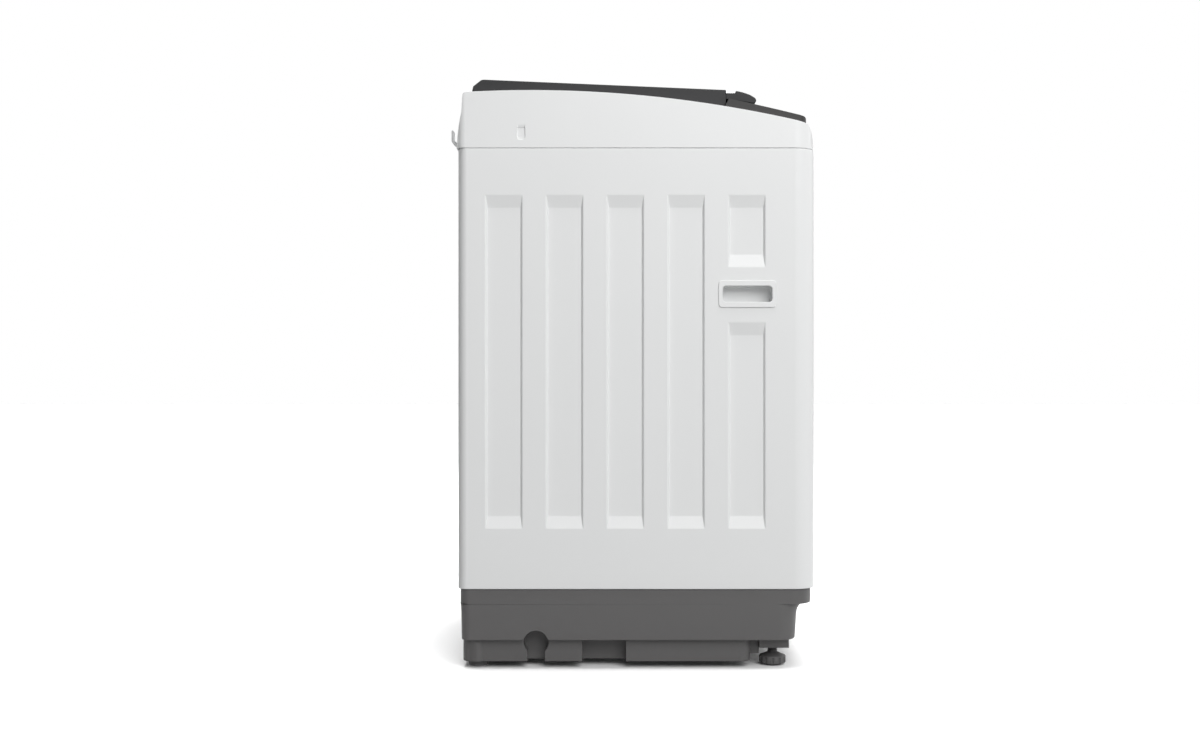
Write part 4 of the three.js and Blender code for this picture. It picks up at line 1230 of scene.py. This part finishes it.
def inlet_thread():
    outline = [(12.2, 0)]
    for i in range(6):
        start = 1 + i * 2.6
        outline += [(12.2, start), (13.4, start + 0.9), (13.4, start + 1.5), (12.2, start + 2.4)]
    outline += [(12.2, 17.4), (11.9, 17.4), (11.9, 0)]
    thread = round_along_y(turned("inlet_spigot_thread", outline, 0, 0, 48), VALVE_X, VALVE_Z, 256)
    place(shade(thread), "cabinet", "natural")


# Tub and its drive

# The pulleys' radii and the distance between their axes.
PULLEY, MOTOR_PULLEY, PULLEYS_APART = 70, 24, 150


def corners():
    """The place of each suspension rod, and the words that name it."""
    for side, word in zip(SIDES, ("left", "right")):
        for end, place_word in zip(SIDES, ("front", "rear")):
            yield side * ROD_X, AXIS_MM + end * ROD_Y, f"{place_word}_{word}"


def outer_tub():
    radius, bottom, top = 243, 310, 770
    tub = turned("tub_shell", [
        (22, bottom), (60, bottom), (radius - 14, bottom), (radius - 6, bottom + 2.4),
        (radius - 1.6, bottom + 8), (radius, bottom + 14), (radius, top), (radius - 3, top),
        (radius - 3, bottom + 15), (radius - 6, bottom + 9), (radius - 13, bottom + 4),
        (22, bottom + 4),
    ], steps=96)
    lugs = []
    for x, y, _ in corners():
        away, turn = hypot(x, y - AXIS_MM), atan2(y - AXIS_MM, x)
        outline = [
            (radius - 2, -26), (away - 8, -22), *arc(away, 0, 18, -70, 70, 12),
            (away - 8, 22), (radius - 2, 26),
        ]
        lug = plate("lug", outline, "Z", 355, 365)
        outline = [(radius - 2, 330), (radius - 2, 354.5), (away - 14, 354.5)]
        lugs += [round_axis(lug, turn), round_axis(plate("web", outline, "Y", -3, 3), turn)]
    fuse(tub, *lugs)
    carve(tub, *[drill(x, y, 7, 340, 380, 24) for x, y, _ in corners()])
    place(soften(tub, 0.8, 2, 50), "tub", "natural", "outer_tub")


def tub_cover_ring():
    z = 770.3
    ring = turned("tub_splash_ring", [
        (243, z), (244, z + 1), (244, z + 10), (242, z + 12.5), (212, z + 28), (206, z + 30),
        (199, z + 30), (197, z + 28.5), (197, z + 20), (200, z + 19), (206, z + 20),
        (236, z + 7), (237, z),
    ], steps=96)
    place(shade(ring, 35), "tub", "natural", "tub_ring")


def suspension():
    for x, y, word in corners():
        rod = turned(f"hanger_rod_{word}", [
            (0, 255), (15.5, 255), (17, 256.5), (17, 262), (4, 262), (4, 814.3), (13, 814.3),
            (13, 816), (10.5, 821), (6, 823.4), (0, 823.4),
        ], x, y, 32)
        place(shade(rod), "cabinet", "zinc", f"suspension_rod_{word}")
        turns, steps, radius, wire = 7, 14, 15, 2
        low, high = 264.6 * MM, 352.4 * MM
        points = []
        for i in range(turns * steps + 1):
            angle = i / steps * 2 * pi
            z = low + (high - low) * i / (turns * steps)
            points.append(((x + radius * cos(angle)) * MM, (y + radius * sin(angle)) * MM, z))
        coil = tube(f"coil_spring_{word}", points, wire * MM, 2)
        place(coil, None, "zinc", f"spring_{word}")
        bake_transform(coil)


def drilled_basket():
    """The drum: a rolled steel wall with rows of punched holes."""
    radius, bottom, top, wall = 222, 345, 705, 1.0
    rows, columns = 22, 96
    low, high = bottom + 16, top - 6
    side = [(radius, low + (high - low) * i / rows) for i in range(rows + 1)]
    outline = [
        (30, bottom), (radius - 14, bottom), (radius - 5, bottom + 3), (radius - 1, bottom + 9),
        *side, (radius, top),
    ]
    drum = turned("wash_drum", outline, steps=columns, closed=False)
    editing(drum)
    pitch = (high - low) / rows * MM

    def punched(c, n):
        row = int((c.z - low * MM) / pitch)
        column = int((atan2(c.y - AXIS_Y, c.x) + pi) / (2 * pi) * columns)
        inside = low * MM < c.z < high * MM
        return inside and 0 < row < rows - 1 and (row + column) % 2 == 0 and column % 8 > 1

    pick_faces(punched)
    bpy.ops.mesh.inset(thickness=4.6 * MM, use_individual=True)
    bpy.ops.mesh.delete(type="FACE")
    close_outward(drum)
    apply_modifier(drum, "SOLIDIFY", thickness=wall * MM, offset=-1)
    place(shade(drum), "basket", "stainless", "wash_basket")


def balance_ring():
    z = 705.3
    ring = turned("balance_ring_top", [
        (194, z), (224, z), (224, z + 34), (222.4, z + 40), (218, z + 43.6), (212, z + 44.7),
        (203, z + 44.7), (196, z + 43), (191.6, z + 38.5), (190, z + 33), (190, z + 7),
        (191, z + 2.5),
    ], steps=96)
    place(shade(ring, 45), "basket", "white", "balance_ring")


def basket_hub():
    hub = turned("hub_flange", [
        (11.5, 303), (17, 303), (17, 326), (30, 330), (70, 336), (90, 339.5), (90, 344.7),
        (11.5, 344.7),
    ], steps=64)
    place(soften(hub, 0.6, 2, 35), "basket", "cast", "basket_hub")


def lint_filter():
    frame_piece = block_mm("lint_cassette", 200, 214, -32, 32, 430, 610)
    soften(frame_piece, 2.5, 4)
    slots = []
    for row in range(8):
        for column in (-1, 0, 1):
            y, z = column * 17, 446 + row * 20
            outline = rounded(y - 6, y + 6, z - 6.5, z + 6.5, 3, steps=4)
            slots.append(plate("slot", outline, "X", 190, 203.5))
    carve(frame_piece, joined("slots", slots))
    place(soften(frame_piece, 0.3, 2, 50), "basket", "white", "lint_filter")


def pulsator():
    base = 352
    disc = turned("pulsator_disc", [
        (0, 306), (9, 306), (9, base), (176, base), (182, base + 1.4), (185, base + 5),
        (184, base + 8), (178, base + 9), (150, base + 7.4), (110, base + 8), (70, base + 10.5),
        (46, base + 15), (34, base + 17.6), (25.4, base + 18), (25, base + 14), (0, base + 14),
    ], steps=96)
    blades = []
    for i in range(6):
        rings = []
        for r, half, height in (
            (30, 6, 16), (48, 10, 24), (80, 12, 26), (120, 12, 25), (150, 10, 20), (172, 5, 11)
        ):
            sweep = 10 * sin((r - 30) / 142 * pi)
            rings.append([
                (r, sweep + half * cos(radians(t)) * (1 if abs(cos(radians(t))) > 0.5 else 0.9),
                 base + 5 + (height - 5) * sin(radians(t)))
                for t in range(0, 181, 15)
            ])
        blades.append(round_axis(loft("blade", rings), i * pi / 3))
    fuse(disc, *blades)
    place(soften(disc, 1.2, 2, 40), "pulsator", "grey", "pulsator")
    cap = turned("pulsator_button", [
        (0, 366.3), (24, 366.3), (24.4, 368), (24.4, 374), (22.6, 378.4), (17, 382), (9, 384.2),
        (0, 385),
    ], steps=64)
    place(shade(cap, 45), "pulsator", "chrome", "pulsator_cap")


def drive():
    gearbox = turned("clutch_case", [
        (12, 200), (56, 200), (62, 203), (65, 210), (65, 290), (68, 295), (78, 297), (78, 305),
        (24, 305), (24, 300), (12, 300), (12, 294), (50, 290), (50, 212), (12, 207),
    ], steps=64)
    ribs = [round_axis(block_mm("rib", 62, 72, -2, 2, 215, 296), i * pi / 4) for i in range(8)]
    fuse(gearbox, *ribs)
    place(soften(gearbox, 0.8, 2, 40), "tub", "cast", "clutch_housing")
    motor_y = AXIS_MM + PULLEYS_APART
    motor = turned("drive_motor", [
        (9, 192), (48, 192), (58, 195), (62, 201), (62, 214), (59, 215), (59, 275), (62, 276),
        (62, 290), (58, 297), (50, 300), (50, 305), (1, 305), (1, 196), (9, 196),
    ], 0, motor_y, 64)
    place(soften(motor, 0.7, 2, 35), "tub", "cast", "motor")
    for name, body, radius, y, top in (
        ("drive_pulley_wheel", "drive_pulley", PULLEY, AXIS_MM, 240),
        ("motor_pulley_wheel", "motor_pulley", MOTOR_PULLEY, motor_y, 191),
    ):
        wheel = turned(name, [
            (0, 160), (8, 160), (9, 161), (9, 168), (radius * 0.5, 168.5), (radius - 4, 168),
            (radius - 0.6, 168), (radius, 168.6), (radius, 185.4), (radius - 0.6, 186),
            (radius - 4, 186), (radius * 0.5, 181), (9, 184), (8, top), (0, top),
        ], 0, y, 64)
        place(shade(wheel, 35), body, "cast", body)


def belt_outline(grow):
    """The loop round both pulleys, this far outside them."""
    big, small = PULLEY + grow, MOTOR_PULLEY + grow
    lean = degrees(asin((big - small) / PULLEYS_APART))
    return [
        *arc(0, AXIS_MM + PULLEYS_APART, small, lean, 180 - lean, 16),
        *arc(0, AXIS_MM, big, 180 - lean, 360 + lean, 36),
    ]


def drive_belt():
    belt = plate("poly_v_belt", belt_outline(4.5), "Z", 172, 182)
    carve(belt, plate("inside", belt_outline(0.5), "Z", 160, 190))
    place(soften(belt, 0.6, 3, 50), "tub", "rubber", "drive_belt")


def finish_frame_nodes():
    """Pieces whose frame shape is right keep it and get their material."""
    for name, finish in (
        ("dispenser_housing", "natural"), ("inlet_valve", "natural"), ("control_board", "board"),
        ("water_level_sensor", "dark"), ("lid_switch", "dark"), ("mounting_plate", "zinc"),
        ("drain_valve", "natural"), ("drain_actuator", "dark"),
    ):
        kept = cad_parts[name]
        for slot in kept.material_slots:
            slot.material = material(finish)


# Stage


def area_light(name, place_at, target, size, power):
    bpy.ops.object.light_add(type="AREA", location=place_at)
    lamp = bpy.context.active_object
    lamp.name = name
    lamp.data.shape = "RECTANGLE"
    lamp.data.size, lamp.data.size_y = size
    lamp.data.energy = power
    aim = Vector(target) - Vector(place_at)
    lamp.rotation_euler = aim.to_track_quat("-Z", "Y").to_euler()


def studio():
    bpy.ops.object.select_all(action="DESELECT")
    bpy.ops.mesh.primitive_plane_add(size=40, location=(0, 0, 0))
    floor = bpy.context.active_object
    floor.name = "studio_floor"
    made, tree, shader, where = surface("studio_paper", Roughness=0.9)
    varied(tree, shader, where, linear("#FDFDFD"), 0.004, 0.7)
    floor.data.materials.append(made)
    floor.visible_diffuse = False
    world = bpy.data.worlds.new("studio_light")
    world.use_nodes = True
    tree = world.node_tree
    background = tree.nodes["Background"]
    background.inputs["Color"].default_value = (1, 1, 1, 1)
    where = node(tree, "ShaderNodeTexCoord").outputs["Generated"]
    parts = node(tree, "ShaderNodeSeparateXYZ", {}, {"Vector": where})
    # The studio is brighter in front than behind.
    ends = {"From Min": -1, "From Max": 1, "To Min": 0.4, "To Max": 0.1}
    fade = node(tree, "ShaderNodeMapRange", ends, {"Value": parts.outputs["Y"]})
    tree.links.new(fade.outputs["Result"], background.inputs["Strength"])
    bright = node(tree, "ShaderNodeBackground", {"Color": (1, 1, 1, 1), "Strength": 1.0})
    path = node(tree, "ShaderNodeLightPath")
    shown = {0: path.outputs["Is Camera Ray"], 1: background.outputs[0], 2: bright.outputs[0]}
    mix = node(tree, "ShaderNodeMixShader", {}, shown)
    tree.links.new(mix.outputs[0], tree.nodes["World Output"].inputs["Surface"])
    bpy.context.scene.world = world
    middle = (0, 0, 0.5)
    area_light("front_light", (1.0, -3.4, 1.7), (0, -0.2, 0.5), (1.6, 2.2), 18)
    area_light("side_light", (-3.4, -1.3, 2.7), middle, (3.0, 3.0), 140)
    area_light("far_light", (3.4, -0.6, 2.4), middle, (3.0, 3.0), 75)
    area_light("rear_light", (2.5, 3.0, 2.2), middle, (2.0, 2.0), 30)
    bpy.ops.object.light_add(type="SUN", location=(0, 0, 4))
    sun = bpy.context.active_object
    sun.name = "ceiling_light"
    sun.data.energy = 2.7
    sun.data.angle = radians(36)


def camera():
    # A long way off on the left side, level with the middle of the cabinet.
    spot = (-2475 * MM, 50.5 * MM, 468.3 * MM)
    lens, sensor = 41.6, 36
    bpy.ops.object.camera_add(location=spot, rotation=(pi / 2, 0, -pi / 2))
    view = bpy.context.active_object
    view.name = "side_camera"
    view.data.lens = lens
    view.data.sensor_width = sensor
    view.data.sensor_fit = "HORIZONTAL"
    bpy.context.scene.camera = view
    bpy.context.scene.view_settings.view_transform = "Standard"


# Operators


def build(*makers):
    for make in makers:
        make()
    return {"FINISHED"}


class WASHER_OT_stage(bpy.types.Operator):
    """Adds the camera, the floor and the lights."""

    bl_idname = "washer.stage"
    bl_label = "Stage"

    def execute(self, context):
        return build(camera, studio)


class WASHER_OT_cabinet(bpy.types.Operator):
    """Builds the steel cabinet and its corner gussets."""

    bl_idname = "washer.cabinet"
    bl_label = "Cabinet"

    def execute(self, context):
        return build(cabinet_shell, corner_gussets)


class WASHER_OT_rear(bpy.types.Operator):
    """Builds the rear panel, its cord gland and its screws."""

    bl_idname = "washer.rear"
    bl_label = "Rear Panel"

    def execute(self, context):
        return build(rear_panel, cord_gland, rear_screws)


class WASHER_OT_grips(bpy.types.Operator):
    """Builds the two hand grips."""

    bl_idname = "washer.grips"
    bl_label = "Hand Grips"

    def execute(self, context):
        return build(grips)


class WASHER_OT_base(bpy.types.Operator):
    """Builds the plastic base."""

    bl_idname = "washer.base"
    bl_label = "Base"

    def execute(self, context):
        return build(base_shell)


class WASHER_OT_feet(bpy.types.Operator):
    """Builds the two levelling feet and the two fixed feet."""

    bl_idname = "washer.feet"
    bl_label = "Feet"

    def execute(self, context):
        return build(front_feet, rear_feet)


class WASHER_OT_cover(bpy.types.Operator):
    """Builds the top cover and the drain hose hook."""

    bl_idname = "washer.cover"
    bl_label = "Top Cover"

    def execute(self, context):
        return build(top_cover, hose_hook)


class WASHER_OT_panel(bpy.types.Operator):
    """Builds the control panel and its display."""

    bl_idname = "washer.panel"
    bl_label = "Control Panel"

    def execute(self, context):
        return build(control_panel, display_window)


class WASHER_OT_buttons(bpy.types.Operator):
    """Builds the six buttons and the marks round them."""

    bl_idname = "washer.buttons"
    bl_label = "Buttons"

    def execute(self, context):
        return build(buttons, button_marks)


class WASHER_OT_lid(bpy.types.Operator):
    """Builds the lid's frame, glass, handle and trim."""

    bl_idname = "washer.lid"
    bl_label = "Lid"

    def execute(self, context):
        return build(lid_frame, lid_glass, lid_handle, lid_trim)


class WASHER_OT_dispenser(bpy.types.Operator):
    """Builds the detergent drawer and the inlet's thread."""

    bl_idname = "washer.dispenser"
    bl_label = "Dispenser"

    def execute(self, context):
        return build(detergent_drawer, inlet_thread)


class WASHER_OT_tub(bpy.types.Operator):
    """Builds the tub, its ring, and the rods and springs it hangs on."""

    bl_idname = "washer.tub"
    bl_label = "Tub"

    def execute(self, context):
        return build(outer_tub, tub_cover_ring, suspension)


class WASHER_OT_basket(bpy.types.Operator):
    """Builds the drum, its balance ring, hub and lint filter."""

    bl_idname = "washer.basket"
    bl_label = "Basket"

    def execute(self, context):
        return build(drilled_basket, balance_ring, basket_hub, lint_filter)


class WASHER_OT_pulsator(bpy.types.Operator):
    """Builds the pulsator and its cap."""

    bl_idname = "washer.pulsator"
    bl_label = "Pulsator"

    def execute(self, context):
        return build(pulsator)


class WASHER_OT_drive(bpy.types.Operator):
    """Builds the motor, gearbox, pulleys and belt."""

    bl_idname = "washer.drive"
    bl_label = "Drive"

    def execute(self, context):
        return build(drive, drive_belt)


class WASHER_OT_finishes(bpy.types.Operator):
    """Gives the kept frame pieces their materials."""

    bl_idname = "washer.finishes"
    bl_label = "Frame Finishes"

    def execute(self, context):
        return build(finish_frame_nodes)


OPERATORS = (
    WASHER_OT_stage,
    WASHER_OT_cabinet,
    WASHER_OT_rear,
    WASHER_OT_grips,
    WASHER_OT_base,
    WASHER_OT_feet,
    WASHER_OT_cover,
    WASHER_OT_panel,
    WASHER_OT_buttons,
    WASHER_OT_lid,
    WASHER_OT_dispenser,
    WASHER_OT_tub,
    WASHER_OT_basket,
    WASHER_OT_pulsator,
    WASHER_OT_drive,
    WASHER_OT_finishes,
)


class WASHER_PT_pieces(bpy.types.Panel):
    """Lists the washing machine's pieces."""

    bl_label = "Washing Machine"
    bl_space_type = "VIEW_3D"
    bl_region_type = "UI"
    bl_category = "Washer"

    def draw(self, context):
        for made in OPERATORS:
            self.layout.operator(made.bl_idname)
        for key, kind in GROUPS.items():
            group = getattr(context.scene, key)
            for field in kind.__annotations__:
                self.layout.prop(group, field)


GROUPS = {
    "washer_cabinet": CabinetSizes,
    "washer_top": TopSizes,
    "washer_base": BaseSizes,
    "washer_colours": Colours,
}


def register():
    for made in (*GROUPS.values(), *OPERATORS, WASHER_PT_pieces):
        bpy.utils.register_class(made)
    for key, group in GROUPS.items():
        setattr(bpy.types.Scene, key, bpy.props.PointerProperty(type=group))


def unregister():
    for key in GROUPS:
        delattr(bpy.types.Scene, key)
    for made in (WASHER_PT_pieces, *reversed(OPERATORS), *reversed(tuple(GROUPS.values()))):
        bpy.utils.unregister_class(made)


def main():
    register()
    for made in OPERATORS:
        group, name = made.bl_idname.split(".")
        getattr(getattr(bpy.ops, group), name)()


if __name__ == "__main__":
    main()
